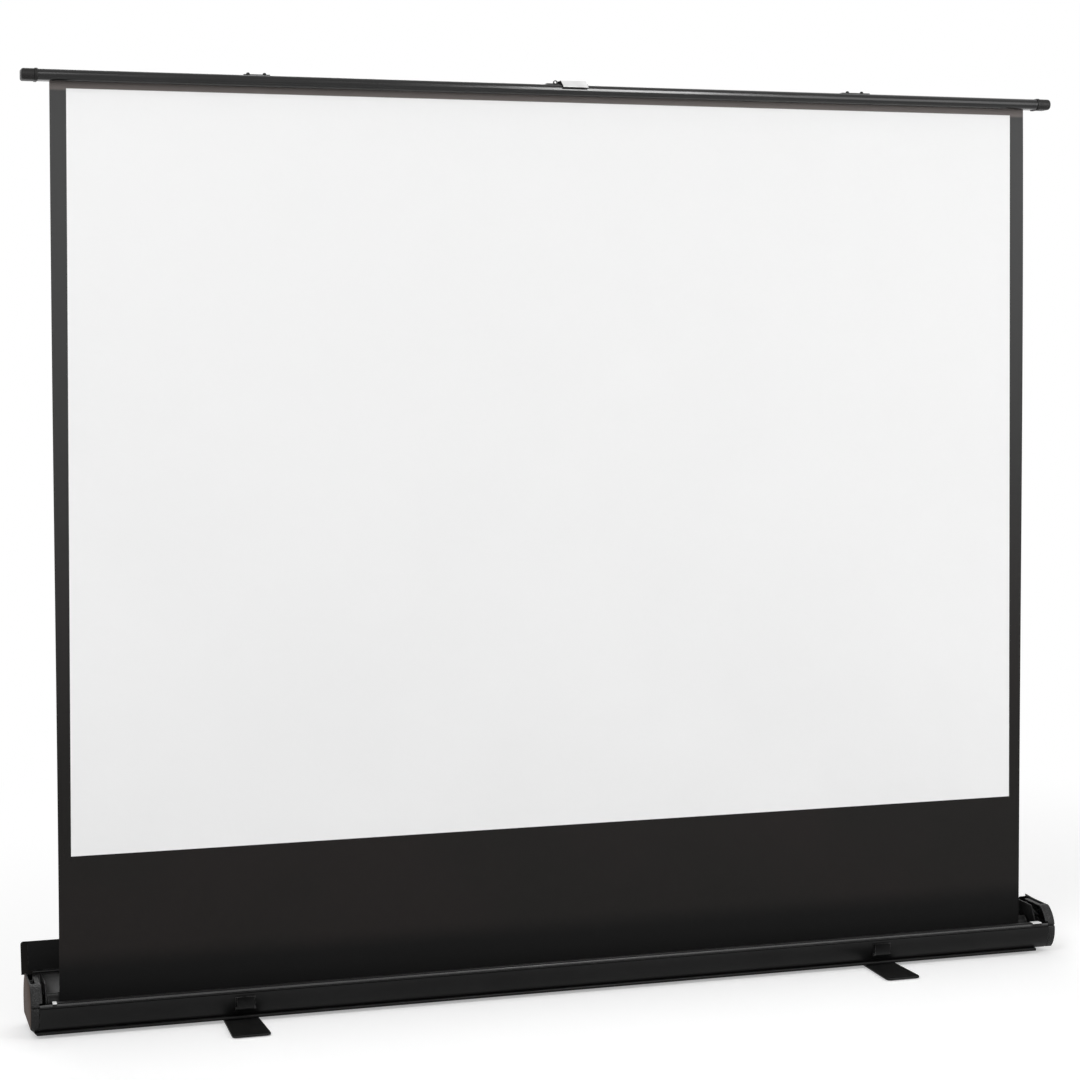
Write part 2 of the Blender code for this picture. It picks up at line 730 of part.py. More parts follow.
def flat_arm(name, start, end, middle):
    """A flat bar with round ends, a pivot hole at each end and a row of lightening slots."""
    outline = slot_outline(start, end, ARM_HEIGHT / 2)
    holes = [circle(point, PIVOT_RADIUS + PIVOT_CLEARANCE, 16) for point in (start, end)]
    run = Vector(end) - Vector(start)
    for i in range(6):
        near = Vector(start) + run * (0.07 + 0.15 * i)
        far = Vector(start) + run * (0.07 + 0.15 * i + 0.10)
        holes.append(slot_outline(tuple(near), tuple(far), 0.0028, 4))
    low = middle - ARM_THICKNESS / 2
    return finish(extrusion(name, "y", low, low + ARM_THICKNESS, outline, *holes), "powder coat")


def arm_pair(side):
    word = "left" if side < 0 else "right"
    base = (side * ARM_PIVOT_X, BASE_PIVOT_Z)
    top = (side * ARM_PIVOT_X, TOP_PIVOT_Z)
    bend = elbow(side)
    lower_y = layer(LOWER_LAYER[side])
    upper_y = layer(UPPER_LAYER[side])
    lower = flat_arm("lower_arm_" + word, base, bend, lower_y)
    upper = flat_arm("upper_arm_" + word, bend, top, upper_y)
    front = upper_y - ARM_THICKNESS / 2
    back = lower_y + ARM_THICKNESS / 2
    pin = flush_pin("elbow_pin_" + word, bend, front, back, lower_y - ARM_THICKNESS / 2 - GAP)
    carry(pivot("lower_arm_axis_" + word, (base[0], lower_y, base[1])), lower, pin)
    carry(pivot("upper_arm_axis_" + word, (bend[0], upper_y, bend[1])), upper)


def flush_pin(name, place, front, back, spacer_back):
    """A rivet flush with both arms, with a spacer collar in the gap between their layers."""
    spacer_front = front + ARM_THICKNESS + GAP
    profile = [
        (0.0, back - front),
        (PIVOT_RADIUS, back - front),
        (PIVOT_RADIUS, spacer_back - front),
        (0.0062, spacer_back - front),
        (0.0062, spacer_front - front),
        (PIVOT_RADIUS, spacer_front - front),
        (PIVOT_RADIUS, 0.0),
        (0.0, 0.0),
    ]
    pin = turned(name, profile, (place[0], front, place[1]), (0, 1, 0), 16)
    return finish(pin, "steel")


def arm_bracket(side):
    """A pedestal behind the roller whose neck reaches forward over the roll to carry an arm's pin."""
    name = sided("arm_bracket", side)
    neck_front = layer(LOWER_LAYER[side]) + ARM_THICKNESS / 2 + GAP + 0.0002
    floor = CASE_BOTTOM + SHEET + GAP
    neck_low = BASE_PIVOT_Z - ARM_HEIGHT / 2
    neck_high = BASE_PIVOT_Z + ARM_HEIGHT / 2
    outline = [(neck_front, neck_low), (0.0150, neck_low)]
    outline += arc((0.0150, neck_low - 0.010), 0.010, 90, 0, 4)
    outline += [(0.0250, floor), (0.0490, floor), (0.0490, floor + 0.004), (0.0340, floor + 0.010)]
    outline += [(0.0340, neck_high - 0.008)]
    outline += arc((0.0260, neck_high - 0.008), 0.008, 0, 90, 4)
    outline += [(neck_front, neck_high)]
    x = side * ARM_PIVOT_X
    bracket = extrusion(name, "x", x - 0.013, x + 0.013, outline)
    front = layer(LOWER_LAYER[side]) - ARM_THICKNESS / 2
    pin = cylinder(name + "_pin", (x, front, BASE_PIVOT_Z), (x, 0.020, BASE_PIVOT_Z), PIVOT_RADIUS, 16)
    join(bracket, pin)
    stud = [
        (0.0, STUD_LENGTH + 0.0025),
        (STUD_HEAD_RADIUS, STUD_LENGTH + 0.0025),
        (STUD_HEAD_RADIUS, STUD_LENGTH),
        (STUD_RADIUS, STUD_LENGTH),
        (STUD_RADIUS, -0.0015),
        (0.0, -0.0015),
    ]
    join(bracket, turned(name + "_stud", stud, (x + side * 0.013, STUD_Y, STUD_Z), (side, 0, 0)))
    hole = cylinder(name + "_hole", (x, 0.0430, floor - 0.003), (x, 0.0430, floor + 0.012), 0.0022, 12)
    cut(bracket, hole)
    return finish(bracket, "black steel")


def arm_spring(side):
    """The torsion spring that helps to lift an arm pair, wound on the pedestal's stud."""
    name = sided("lift_spring", side)
    turns = 4
    points_per_turn = 12
    wire_radius = 0.0013
    coil_radius = STUD_RADIUS + GAP + wire_radius + 0.0006
    x = side * (ARM_PIVOT_X + 0.013 + GAP + wire_radius)
    curve = bpy.data.curves.new(name, "CURVE")
    curve.dimensions = "3D"
    curve.bevel_depth = wire_radius
    curve.bevel_resolution = 1
    curve.use_fill_caps = True
    spline = curve.splines.new("POLY")
    count = turns * points_per_turn
    spline.points.add(count)
    for i in range(count + 1):
        turn = 2 * pi * i / points_per_turn
        along = side * (0.0036 * i / points_per_turn)
        y = STUD_Y + coil_radius * cos(turn)
        z = STUD_Z + coil_radius * sin(turn)
        spline.points[i].co = (x + along, y, z, 1.0)
    return finish(link(bpy.data.objects.new(name, curve)), "steel")


# Top bar


def bar_outline(inset=0.0):
    """The bar's section: a rounded nose in front and a square back."""
    nose = BAR_HEIGHT / 2 - inset
    middle_z = (BAR_BOTTOM + BAR_TOP) / 2
    front = arc((BAR_FRONT + BAR_HEIGHT / 2, middle_z), nose, 90, 270, 10)
    corner = 0.003 - inset / 2
    back_low = arc((BAR_BACK - inset - corner, BAR_BOTTOM + inset + corner), corner, 270, 360, 3)
    back_high = arc((BAR_BACK - inset - corner, BAR_TOP - inset - corner), corner, 0, 90, 3)
    return front + back_low + back_high


def top_bar():
    half = COLLAR_X + COLLAR_WIDTH / 2
    bar = extrusion("top_bar", "x", -half, half, bar_outline(), bar_outline(BAR_WALL))
    slot_half = IMAGE_WIDTH / 2 + SIDE_BORDER + 0.006
    low = (-slot_half, FABRIC_Y - 0.0012, BAR_BOTTOM - 0.002)
    high = (slot_half, FABRIC_Y + 0.0012, BAR_BOTTOM + BAR_WALL + 0.004)
    cut(bar, box("fabric_slot", low, high))
    return finish(bar, "powder coat")


def bar_plug(side):
    """A moulded plug: a collar round the bar's end face, a rounded nose and a tongue inside."""
    name = sided("bar_plug", side)
    start = side * (COLLAR_X + COLLAR_WIDTH / 2 + GAP)
    end = side * BAR_HALF_LENGTH
    nose = extrusion(name, "x", min(start, end), max(start, end), bar_outline(-0.0004))
    bevelled(nose, 0.0035, 3, 60)
    tongue_end = start - side * 0.020
    inside = bar_outline(BAR_WALL + GAP)
    tongue_mouth = start + side * 0.006
    low, high = sorted((tongue_end, tongue_mouth))
    join(nose, extrusion(name + "_tongue", "x", low, high, inside))
    return finish(nose, "moulding")


def bar_collar(side):
    """A moulded ring round the bar, just inside its plug."""
    low = side * COLLAR_X - COLLAR_WIDTH / 2
    ring = extrusion(
        sided("bar_collar", side), "x", low, low + COLLAR_WIDTH, bar_outline(-0.0016), bar_outline(-GAP)
    )
    return finish(ring, "moulding")


def top_bracket(side):
    """A saddle over the bar with two rivet heads on top, and a lug below the bar for an arm's pin."""
    name = sided("top_bracket", side)
    x = side * ARM_PIVOT_X
    half = 0.026 if side < 0 else 0.032
    back = BAR_BACK + GAP
    lug_back = layer(UPPER_LAYER[side]) - ARM_THICKNESS / 2 - GAP - 0.0002
    lug_front = FABRIC_Y + FABRIC_THICKNESS / 2 + 0.0007
    top = BAR_TOP + GAP
    under = BAR_BOTTOM - GAP
    plate = 0.0022
    saddle = [(BAR_FRONT + 0.016, top), (back, top), (back, under), (lug_front, under)]
    saddle += [(lug_front, under - plate), (back + plate, under - plate), (back + plate, top + plate)]
    saddle += [(BAR_FRONT + 0.016, top + plate)]
    bracket = extrusion(name, "x", x - half, x + half, saddle)
    lug_low = TOP_PIVOT_Z - 0.0085
    lug_outline = [(x + 0.013, under - plate / 2), (x - 0.013, under - plate / 2)]
    lug_outline += arc((x, TOP_PIVOT_Z), TOP_PIVOT_Z - lug_low, 200, 340, 8)
    join(bracket, extrusion(name + "_lug", "y", lug_front, lug_back, lug_outline))
    pin_back = layer(UPPER_LAYER[side]) + ARM_THICKNESS / 2
    start = (x, lug_back - 0.0015, TOP_PIVOT_Z)
    join(bracket, cylinder(name + "_pin", start, (x, pin_back, TOP_PIVOT_Z), PIVOT_RADIUS, 16))
    for step in (-1, 1):
        head = [(0.0, 0.0050), (0.0018, 0.0048), (0.0034, 0.0036), (0.0040, 0.0), (0.0, 0.0)]
        place = (x + step * 0.0165, -0.027, top + plate - 0.0008)
        join(bracket, turned(name + "_rivet", head, place, (0, 0, 1), 12))
    return finish(bracket, "black steel")


def grip_seat():
    """The centre seat screwed over the bar: an ear with a ring eye beside the folding grip."""
    top = BAR_TOP + GAP
    left = GRIP_BASE_LEFT
    strip = box("grip_seat", (left, -0.040, top), (GRIP_RIGHT, -0.014, top + 0.0022))
    bevelled(strip, 0.0006, 1, 40)
    eye_x = -0.0255
    eye = circle((eye_x, top + 0.0050), 0.0048, 16)
    hole = circle((eye_x, top + 0.0056), 0.0024, 12)
    join(strip, extrusion("grip_eye", "y", -0.030, -0.027, eye, hole))
    ear = arc(GRIP_AXIS, 0.0030, -20, 200, 10)
    ear += [(GRIP_AXIS[0] - 0.0040, top + 0.0010), (GRIP_AXIS[0] + 0.0035, top + 0.0010)]
    for x in (GRIP_LEFT + 0.0020, GRIP_RIGHT - 0.0020):
        join(strip, extrusion("grip_ear", "x", x - 0.0016, x + 0.0016, ear))
    pin = cylinder("grip_pin", (GRIP_LEFT + 0.001, *GRIP_AXIS), (GRIP_RIGHT - 0.001, *GRIP_AXIS), 0.0012, 12)
    join(strip, pin)
    return finish(strip, "black steel")


GRIP_AXIS = (-0.0175, BAR_TOP + GAP + 0.0058)
GRIP_CREST = (-0.0360, BAR_TOP + 0.0090)
GRIP_TIP = (-0.0580, BAR_TOP - 0.0070)
GRIP_WALL = 0.0016


def slope_normal():
    """The way the grip's sloping face looks: forwards and up."""
    run = (Vector(GRIP_TIP) - Vector(GRIP_CREST)).normalized()
    return Vector((run.y, -run.x))


def grip():
    """The folding grip: a sloping blade over the bar's nose, hinged between the seat's ears."""
    inward = slope_normal() * -GRIP_WALL
    inner_crest = tuple(Vector(GRIP_CREST) + inward)
    inner_tip = tuple(Vector(GRIP_TIP) + inward)
    outline = arc(GRIP_AXIS, 0.0030, 90, -150, 12)
    outline += [(GRIP_AXIS[0] - 0.0060, GRIP_AXIS[1] - 0.0005), inner_crest, inner_tip, GRIP_TIP, GRIP_CREST]
    hole = circle(GRIP_AXIS, 0.0012 + GAP, 12)
    blade = extrusion("grip", "x", GRIP_LEFT + 0.0040, GRIP_RIGHT - 0.0040, outline, hole)
    return finish(blade, "black steel")


def grip_plate():
    """The bare pale plate on the grip's slope."""
    normal = slope_normal()
    upper = Vector(GRIP_CREST).lerp(Vector(GRIP_TIP), 0.05)
    lower = Vector(GRIP_CREST).lerp(Vector(GRIP_TIP), 0.93)
    near = normal * GAP
    far = normal * (GAP + 0.0008)
    outline = [tuple(point) for point in (upper + near, upper + far, lower + far, lower + near)]
    plate = extrusion("grip_plate", "x", GRIP_LEFT + 0.0042, GRIP_RIGHT - 0.0042, outline)
    return finish(plate, "plate")


def top_assembly():
    pieces = [top_bar(), grip_seat()]
    for side in (-1, 1):
        pieces += [bar_plug(side), bar_collar(side), top_bracket(side)]
    carry(pivot("top_bar_axis", (-ARM_PIVOT_X, layer(UPPER_LAYER[-1]), TOP_PIVOT_Z)), *pieces)
    carry(pivot("grip_axis", (0, *GRIP_AXIS)), grip(), grip_plate())


# Lid


def leaned(points):
    """Points of the lid's section, drawn upright about its axis, leaned back as it stands open."""
    turned_back = []
    for y, z in points:
        leaned_y = LID_AXIS_Y + y * cos(LID_LEAN) + z * sin(LID_LEAN)
        leaned_z = LID_AXIS_Z - y * sin(LID_LEAN) + z * cos(LID_LEAN)
        turned_back.append((leaned_y, leaned_z))
    return turned_back


def rear_lid():
    """A flat strip with a rolled free edge and, along its foot, a claw that clips round the tray's bead."""
    front = LID_SET_BACK
    back = LID_SET_BACK + LID_THICKNESS
    meet = acos(LID_SET_BACK / CLAW_OUTER) * 180 / pi
    roll = 0.0018
    outline = arc((0, 0), CLAW_OUTER, -77, -8, 6)
    outline += [(back, 0.0010), (back, LID_WIDTH - 0.0044), (front + 2 * roll, LID_WIDTH - 0.0032)]
    outline += arc((front + roll, LID_WIDTH - roll), roll, 0, 180, 6)
    outline += arc((0, 0), CLAW_OUTER, meet, 115, 5)
    outline += arc((0, 0), CLAW_INNER, 115, -77, 14)
    left = LID_LEFT + LID_END_LEFT_WIDTH
    lid = extrusion("rear_lid", "x", left, LID_RIGHT - LID_END_RIGHT_WIDTH, leaned(outline))
    tray_end = -CASE_HALF_LENGTH + CAP_WIDTH + GAP
    claw_side = front - 0.0001
    claw_top = CLAW_OUTER + GAP
    claw = [(-0.0070, -0.0070), (0.0080, -0.0070), (0.0080, LID_FOOT), (claw_side, LID_FOOT)]
    claw += [(claw_side, claw_top), (-0.0070, claw_top)]
    cut(lid, extrusion("lid_claw_end", "x", left - 0.002, tray_end + GAP, leaned(claw)))
    return finish(lid, "powder coat")


def lid_end(side):
    """A moulded end on the lid, its free corner rounded."""
    name = sided("lid_end", side)
    width = (LID_END_LEFT_WIDTH if side < 0 else LID_END_RIGHT_WIDTH) - GAP
    outer = LID_LEFT if side < 0 else LID_RIGHT
    inner = outer - side * width
    corner = 0.0055
    corner_x = outer - side * corner
    outline = [(inner, LID_FOOT), (outer, LID_FOOT)]
    outline += [(corner_x + side * corner * cos(a), LID_WIDTH - corner + corner * sin(a)) for a in QUARTER]
    outline += [(inner, LID_WIDTH)]
    end = extrusion(name, "y", LID_SET_BACK - 0.0001, LID_SET_BACK + LID_THICKNESS + 0.0006, outline)
    place = Matrix.Translation((0, LID_AXIS_Y, LID_AXIS_Z)) @ Matrix.Rotation(-LID_LEAN, 4, "X")
    end.matrix_world = place @ end.matrix_world
    return finish(end, "moulding")


QUARTER = [radians(15 * i) for i in range(7)]


def lid_assembly():
    carry(pivot("lid_axis", (0, LID_AXIS_Y, LID_AXIS_Z)), rear_lid(), lid_end(-1), lid_end(1))


# Front latches


def latch_base(side):
    """A plate riveted to the front wall, with two ears for the lever's pin."""
    name = sided("latch_base", side)
    x = side * LATCH_X
    low = 0.0280
    high = 0.0545
    steps = [low + (high - low) * i / 4 for i in range(5)]
    inner = [(wall_y(z) - GAP, z) for z in steps]
    outer = [(wall_y(z) - GAP - LATCH_PLATE, z) for z in reversed(steps)]
    half = LATCH_WIDTH / 2
    plate = extrusion(name, "x", x - half, x + half, inner + outer)
    axis = (wall_y(LATCH_PIVOT_Z) - LATCH_PIVOT_REACH, LATCH_PIVOT_Z)
    for end in (-1, 1):
        ear_x = x + end * (half - 0.0012)
        root = [(wall_y(z) - GAP - LATCH_PLATE / 2, z) for z in (axis[1] - 0.0028, axis[1] + 0.0028)]
        body = root + arc(axis, 0.0028, 90, 270, 8)
        join(plate, extrusion(name + "_ear", "x", ear_x - 0.0011, ear_x + 0.0011, body))
    pin_low = (x - half + 0.0005, *axis)
    pin_high = (x + half - 0.0005, *axis)
    join(plate, cylinder(name + "_pin", pin_low, pin_high, 0.0011, 12))
    return finish(plate, "black steel")


def latch_lever(side):
    """The lever that folds up against the wall, its free end rolled outwards for a finger."""
    name = sided("latch_lever", side)
    x = side * LATCH_X
    half = LATCH_WIDTH / 2 - 0.0028
    axis = (wall_y(LATCH_PIVOT_Z) - LATCH_PIVOT_REACH, LATCH_PIVOT_Z)
    tip_y = wall_y(0.054) - 0.0062
    outline = [(axis[0] + 0.0010, axis[1] + 0.0040)] + arc(axis, 0.0026, 20, -215, 12)
    outline += [(tip_y - 0.0006, 0.0525), (tip_y - 0.0022, 0.0560)]
    outline += [(tip_y - 0.0004, 0.0566), (tip_y + 0.0014, 0.0530)]
    lever = extrusion(name, "x", x - half, x + half, outline, circle(axis, 0.0011 + GAP, 12))
    finish(lever, "black steel")
    carry(pivot(name + "_axis", (x, *axis)), lever)
    return lever


# Assembly


for existing in list(bpy.data.objects):
    bpy.data.objects.remove(existing)

part_collection = new_collection(OBJECT_NAME)
cutter_collection = new_collection("cutters")

case_tray()
base_rail()
lip_guard()
lid_assembly()
roller_parts()
roller_spring()
screen_fabric()
top_assembly()
for case_side in (-1, 1):
    end_cap(case_side)
    lip_glide(case_side)
    foot(case_side)
    foot_bolt(case_side)
    roller_bracket(case_side)
    gudgeon(case_side)
    arm_bracket(case_side)
    arm_pair(case_side)
    arm_spring(case_side)
    latch_base(case_side)
    latch_lever(case_side)
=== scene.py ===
"""Floor-standing projector screen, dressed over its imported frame.

Metres, +Z up. The screen faces -Y and the origin is on the floor, under the middle of the case.
"""

import json
from math import acos, asin, cos, degrees, pi, radians, sin

import bmesh
import bpy
import numpy as np
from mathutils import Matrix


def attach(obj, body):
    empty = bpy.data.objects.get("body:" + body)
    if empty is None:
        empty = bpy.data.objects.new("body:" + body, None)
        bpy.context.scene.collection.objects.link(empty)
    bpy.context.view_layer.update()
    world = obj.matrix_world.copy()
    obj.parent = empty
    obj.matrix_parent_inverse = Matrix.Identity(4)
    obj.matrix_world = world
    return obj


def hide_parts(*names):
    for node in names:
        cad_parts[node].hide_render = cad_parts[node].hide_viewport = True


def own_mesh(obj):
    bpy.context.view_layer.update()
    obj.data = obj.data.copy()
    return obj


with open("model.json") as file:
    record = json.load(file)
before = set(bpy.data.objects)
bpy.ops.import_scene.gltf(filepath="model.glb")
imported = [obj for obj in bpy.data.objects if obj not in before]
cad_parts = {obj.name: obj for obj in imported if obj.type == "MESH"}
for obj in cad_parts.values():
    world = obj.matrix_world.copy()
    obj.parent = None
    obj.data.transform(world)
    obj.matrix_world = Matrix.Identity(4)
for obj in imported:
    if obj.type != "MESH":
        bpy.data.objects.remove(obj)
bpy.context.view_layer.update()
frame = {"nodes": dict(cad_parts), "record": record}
NODES = frame["nodes"]
BODY_OF = {node: body for body, nodes in frame["record"]["behaviour"]["bodies"].items() for node in nodes}

# Clearance between two made pieces that meet
GAP = 0.0003

# Case: the half circles of its side walls (y from the middle, z), its walls and its ends
SIDE_CENTRE = (0.029, 0.0535)
SIDE_RADIUS = 0.054
WALL = 0.002
CASE_HALF = 1.100
CASE_BOTTOM = 0.0138
CASE_TOP = 0.1025
BACK_WALL_TOP = 0.0945
CAP_WIDTH = 0.0165
FLOOR_RIB_Y = (0.0195, 0.0220)
FLOOR_RIB_HEIGHT = 0.0045

# Front wall: the rounded lip, the groove (low z, high z, depth) and the strip behind the lip
LIP_TOP = 0.0688
LIP_RADIUS = 0.0019
GROOVE = (0.0612, 0.0650, 0.0014)
GUARD_X = (-1.0500, 1.0450)
GUARD_TOP = 0.0712
GUARD_BACK = -0.0668
GUARD_WALL = 0.0016

# Lid: its axis (y, z) is the bead on the back wall; its section is drawn upright and then leaned back
LID_AXIS = (0.0635, 0.0998)
LID_LEAN = radians(17)
LID_X = (-1.0914, 1.0664)
LID_LEFT = -1.105
LID_FACES = (0.0032, 0.0054)
LID_FOOT = 0.0040
LID_WIDTH = 0.0618
LID_ROLL = 0.0018
BEAD_RADIUS = 0.0028
CLAW_LEFT = -1.0829
CLAW_INNER = 0.0031
CLAW_OUTER = 0.0048
HEEL_FOOT = -0.0030

# Feet
FOOT_X = 0.690
FOOT_LENGTH = 0.378
FOOT_WIDTH = 0.076
FOOT_CORNER = 0.010
FOOT_WAIST = 0.004
FOOT_Z = (0.0018, 0.0063)

# Top bar
BAR_BOTTOM = 1.856
BAR_HEIGHT = 0.022
BAR_FRONT = -0.052
BAR_BACK = -0.012
BAR_WALL = 0.0018
BAR_X = 1.0775
BAR_END = 1.103
BAR_END_ROUND = 0.0045
BAR_SLOT = 0.0012
NOSE_POINTS = 25
COLLAR_X = 1.0745

# Cloth: the white area, its borders, and how the sheet narrows, bellies and curls
IMAGE_HALF = 1.016
IMAGE_BOTTOM = 0.343
IMAGE_TOP = 1.843
CLOTH_HALF = IMAGE_HALF + 0.032
CLOTH_Y = -0.024
CLOTH_BOTTOM = 0.056
CLOTH_TOP = BAR_BOTTOM + 0.006
CLOTH_SIDE = 0.0003
TAPER = 0.008
BELLY = 0.004
CURL = 0.0022
CURL_WIDTH = 0.030

# Roller and springs: their axes (y, z), the wound turns, and where the lift's coils start
ROLLER = (-0.0047, 0.0545)
WRAP_RADIUS = 0.0187
TURNS = 3
LIFT_SPRING_AXIS = (0.0385, 0.0640)
LIFT_SPRING_X = 0.6596
WIRE_SIDES = 10


# Shader nodes


def feed(tree, node, inputs):
    """Give a node's inputs plain values or other nodes' output sockets."""
    for key, value in inputs.items():
        if isinstance(value, bpy.types.NodeSocket):
            tree.links.new(value, node.inputs[key])
        else:
            node.inputs[key].default_value = value


def add(tree, kind, inputs=None, **settings):
    node = tree.nodes.new("ShaderNode" + kind)
    for key, value in settings.items():
        setattr(node, key, value)
    feed(tree, node, inputs or {})
    return node


def calc(tree, operation, a, b=0.0):
    return add(tree, "Math", {0: a, 1: b}, operation=operation).outputs[0]


def noise(tree, place, scale, detail, **more):
    """A noise texture's value."""
    return add(tree, "TexNoise", {"Vector": place, "Scale": scale, "Detail": detail, **more}).outputs["Fac"]


def spread(tree, value, low, high, to_low=0.0, to_high=1.0):
    """Map a value from one range to another, smoothly and clamped."""
    ends = {"Value": value, "From Min": low, "From Max": high, "To Min": to_low, "To Max": to_high}
    return add(tree, "MapRange", ends, interpolation_type="SMOOTHSTEP").outputs[0]


def blend_colours(tree, factor, a, b):
    """Mix two colours: a where the factor is 0, b where it is 1."""
    return add(tree, "Mix", {0: factor, 6: a, 7: b}, data_type="RGBA").outputs[2]


def effect(name, inputs, outputs):
    """Start a shader effect: a node group with named inputs and outputs."""
    tree = bpy.data.node_groups.new(name, "ShaderNodeTree")
    for label, kind, value in inputs:
        socket = tree.interface.new_socket(label, in_out="INPUT", socket_type="NodeSocket" + kind)
        if value is not None:
            socket.default_value = value
    for label in outputs:
        tree.interface.new_socket(label, in_out="OUTPUT", socket_type="NodeSocketFloat")
    return tree, tree.nodes.new("NodeGroupInput").outputs, tree.nodes.new("NodeGroupOutput")


def powder_speckle():
    """Powder coat: fine pimples, a slow cloudiness in its tone and a few rougher flecks."""
    inputs = [("Position", "Vector", None), ("Grain", "Float", 1500.0), ("Cloud", "Float", 0.12)]
    tree, given, out = effect("powder_speckle", inputs, ["Height", "Tone", "Gloss"])
    pimples = noise(tree, given["Position"], given["Grain"], 2.0, Roughness=0.6)
    drift = spread(tree, noise(tree, given["Position"], 9.0, 3.0), 0.3, 0.7, -1.0, 1.0)
    feed(tree, out, {
        "Height": pimples,
        "Tone": calc(tree, "MULTIPLY", drift, given["Cloud"]),
        "Gloss": spread(tree, pimples, 0.35, 0.75, 0.0, 0.12),
    })
    return tree


def die_lines():
    """Extruded metal: faint straight lines along the extrusion, broken up by a slow drift."""
    inputs = [("Position", "Vector", None), ("Fineness", "Float", 700.0)]
    tree, given, out = effect("die_lines", inputs, ["Height", "Gloss"])
    flat = add(tree, "Mapping", {"Vector": given["Position"], "Scale": (0.012, 1.0, 1.0)}).outputs[0]
    lines = noise(tree, flat, given["Fineness"], 2.0)
    feed(tree, out, {"Height": lines, "Gloss": spread(tree, lines, 0.3, 0.7, -0.05, 0.05)})
    return tree


def rubbed_edges():
    """Wear: the mask is high where the surface turns sharply, and broken up by a fine noise."""
    inputs = [("Position", "Vector", None), ("Reach", "Float", 0.0012), ("Breakup", "Float", 130.0)]
    tree, given, out = effect("rubbed_edges", inputs, ["Mask"])
    rounded = add(tree, "Bevel", {"Radius": given["Reach"]}, samples=4).outputs[0]
    plain = add(tree, "NewGeometry").outputs["Normal"]
    turn = add(tree, "VectorMath", {0: rounded, 1: plain}, operation="DOT_PRODUCT").outputs["Value"]
    edge = spread(tree, turn, 0.995, 0.90)
    patches = spread(tree, noise(tree, given["Position"], given["Breakup"], 4.0), 0.40, 0.62)
    feed(tree, out, {"Mask": calc(tree, "MULTIPLY", edge, patches)})
    return tree


def settled_dust():
    """Dust: the mask follows how far a surface looks up, times a patchy noise."""
    inputs = [("Position", "Vector", None), ("Amount", "Float", 0.3)]
    tree, given, out = effect("settled_dust", inputs, ["Mask"])
    facing = add(tree, "SeparateXYZ", {0: add(tree, "NewGeometry").outputs["Normal"]}).outputs[2]
    patches = noise(tree, given["Position"], 60.0, 6.0, Roughness=0.7)
    lying = calc(tree, "MULTIPLY", spread(tree, facing, 0.55, 1.0), spread(tree, patches, 0.35, 0.75))
    feed(tree, out, {"Mask": calc(tree, "MULTIPLY", lying, given["Amount"])})
    return tree


def plain_weave():
    """Woven cloth under a thin coat: warp and weft as two crossed waves, with uneven threads."""
    inputs = [("Place", "Vector", None), ("Threads", "Float", 1100.0), ("Unevenness", "Float", 0.35)]
    tree, given, out = effect("plain_weave", inputs, ["Height", "Tone"])
    part = add(tree, "SeparateXYZ", {0: given["Place"]})
    threads = calc(tree, "MULTIPLY", given["Threads"], 2 * pi)
    warp = calc(tree, "SINE", calc(tree, "MULTIPLY", part.outputs[0], threads))
    weft = calc(tree, "SINE", calc(tree, "MULTIPLY", part.outputs[1], threads))
    crossed = calc(tree, "MULTIPLY", warp, weft)
    uneven = calc(tree, "MULTIPLY", noise(tree, given["Place"], 220.0, 2.0), given["Unevenness"])
    feed(tree, out, {
        "Height": calc(tree, "ADD", crossed, uneven),
        "Tone": spread(tree, noise(tree, given["Place"], 2.2, 3.0), 0.3, 0.7, -1.0, 1.0),
    })
    return tree


def moulded_grain():
    """Moulded plastic: a leathery spark-eroded grain of small round cells."""
    inputs = [("Position", "Vector", None), ("Cells", "Float", 900.0)]
    tree, given, out = effect("moulded_grain", inputs, ["Height", "Gloss"])
    place = {"Vector": given["Position"], "Scale": given["Cells"]}
    cells = add(tree, "TexVoronoi", place, feature="SMOOTH_F1").outputs["Distance"]
    soft = noise(tree, given["Position"], 300.0, 2.0)
    feed(tree, out, {
        "Height": calc(tree, "ADD", cells, soft),
        "Gloss": spread(tree, soft, 0.3, 0.7, -0.06, 0.06),
    })
    return tree


EFFECTS = {
    make.__name__: make()
    for make in (powder_speckle, die_lines, rubbed_edges, settled_dust, plain_weave, moulded_grain)
}


def place_effect(tree, name, inputs):
    return add(tree, "Group", inputs, node_tree=EFFECTS[name]).outputs


# Looks


def new_material(name):
    """A material with its Principled shader and Object coordinates."""
    made = bpy.data.materials.new(name)
    made.use_nodes = True
    tree = made.node_tree
    return made, tree, tree.nodes["Principled BSDF"], add(tree, "TexCoord").outputs["Object"]


def bump(tree, height, distance):
    return add(tree, "Bump", {"Height": height, "Distance": distance, "Strength": 1.0}).outputs[0]


def grey(value, warmth=0.0):
    return (value * (1 + warmth), value, value * (1 - warmth), 1.0)


DUST = grey(0.30, 0.03)
RUBBED_METAL = grey(0.22)
SHADE = grey(0.003)
WARM_BLACK = (0.0125, 0.0106, 0.0100, 1.0)
# Painted highlight for the cloth's strip right under the bar.
HEM_PAINTED_HIGHLIGHT = (0.150, 0.134, 0.127, 1.0)
CAP_BROWN = (0.046, 0.026, 0.017, 1.0)


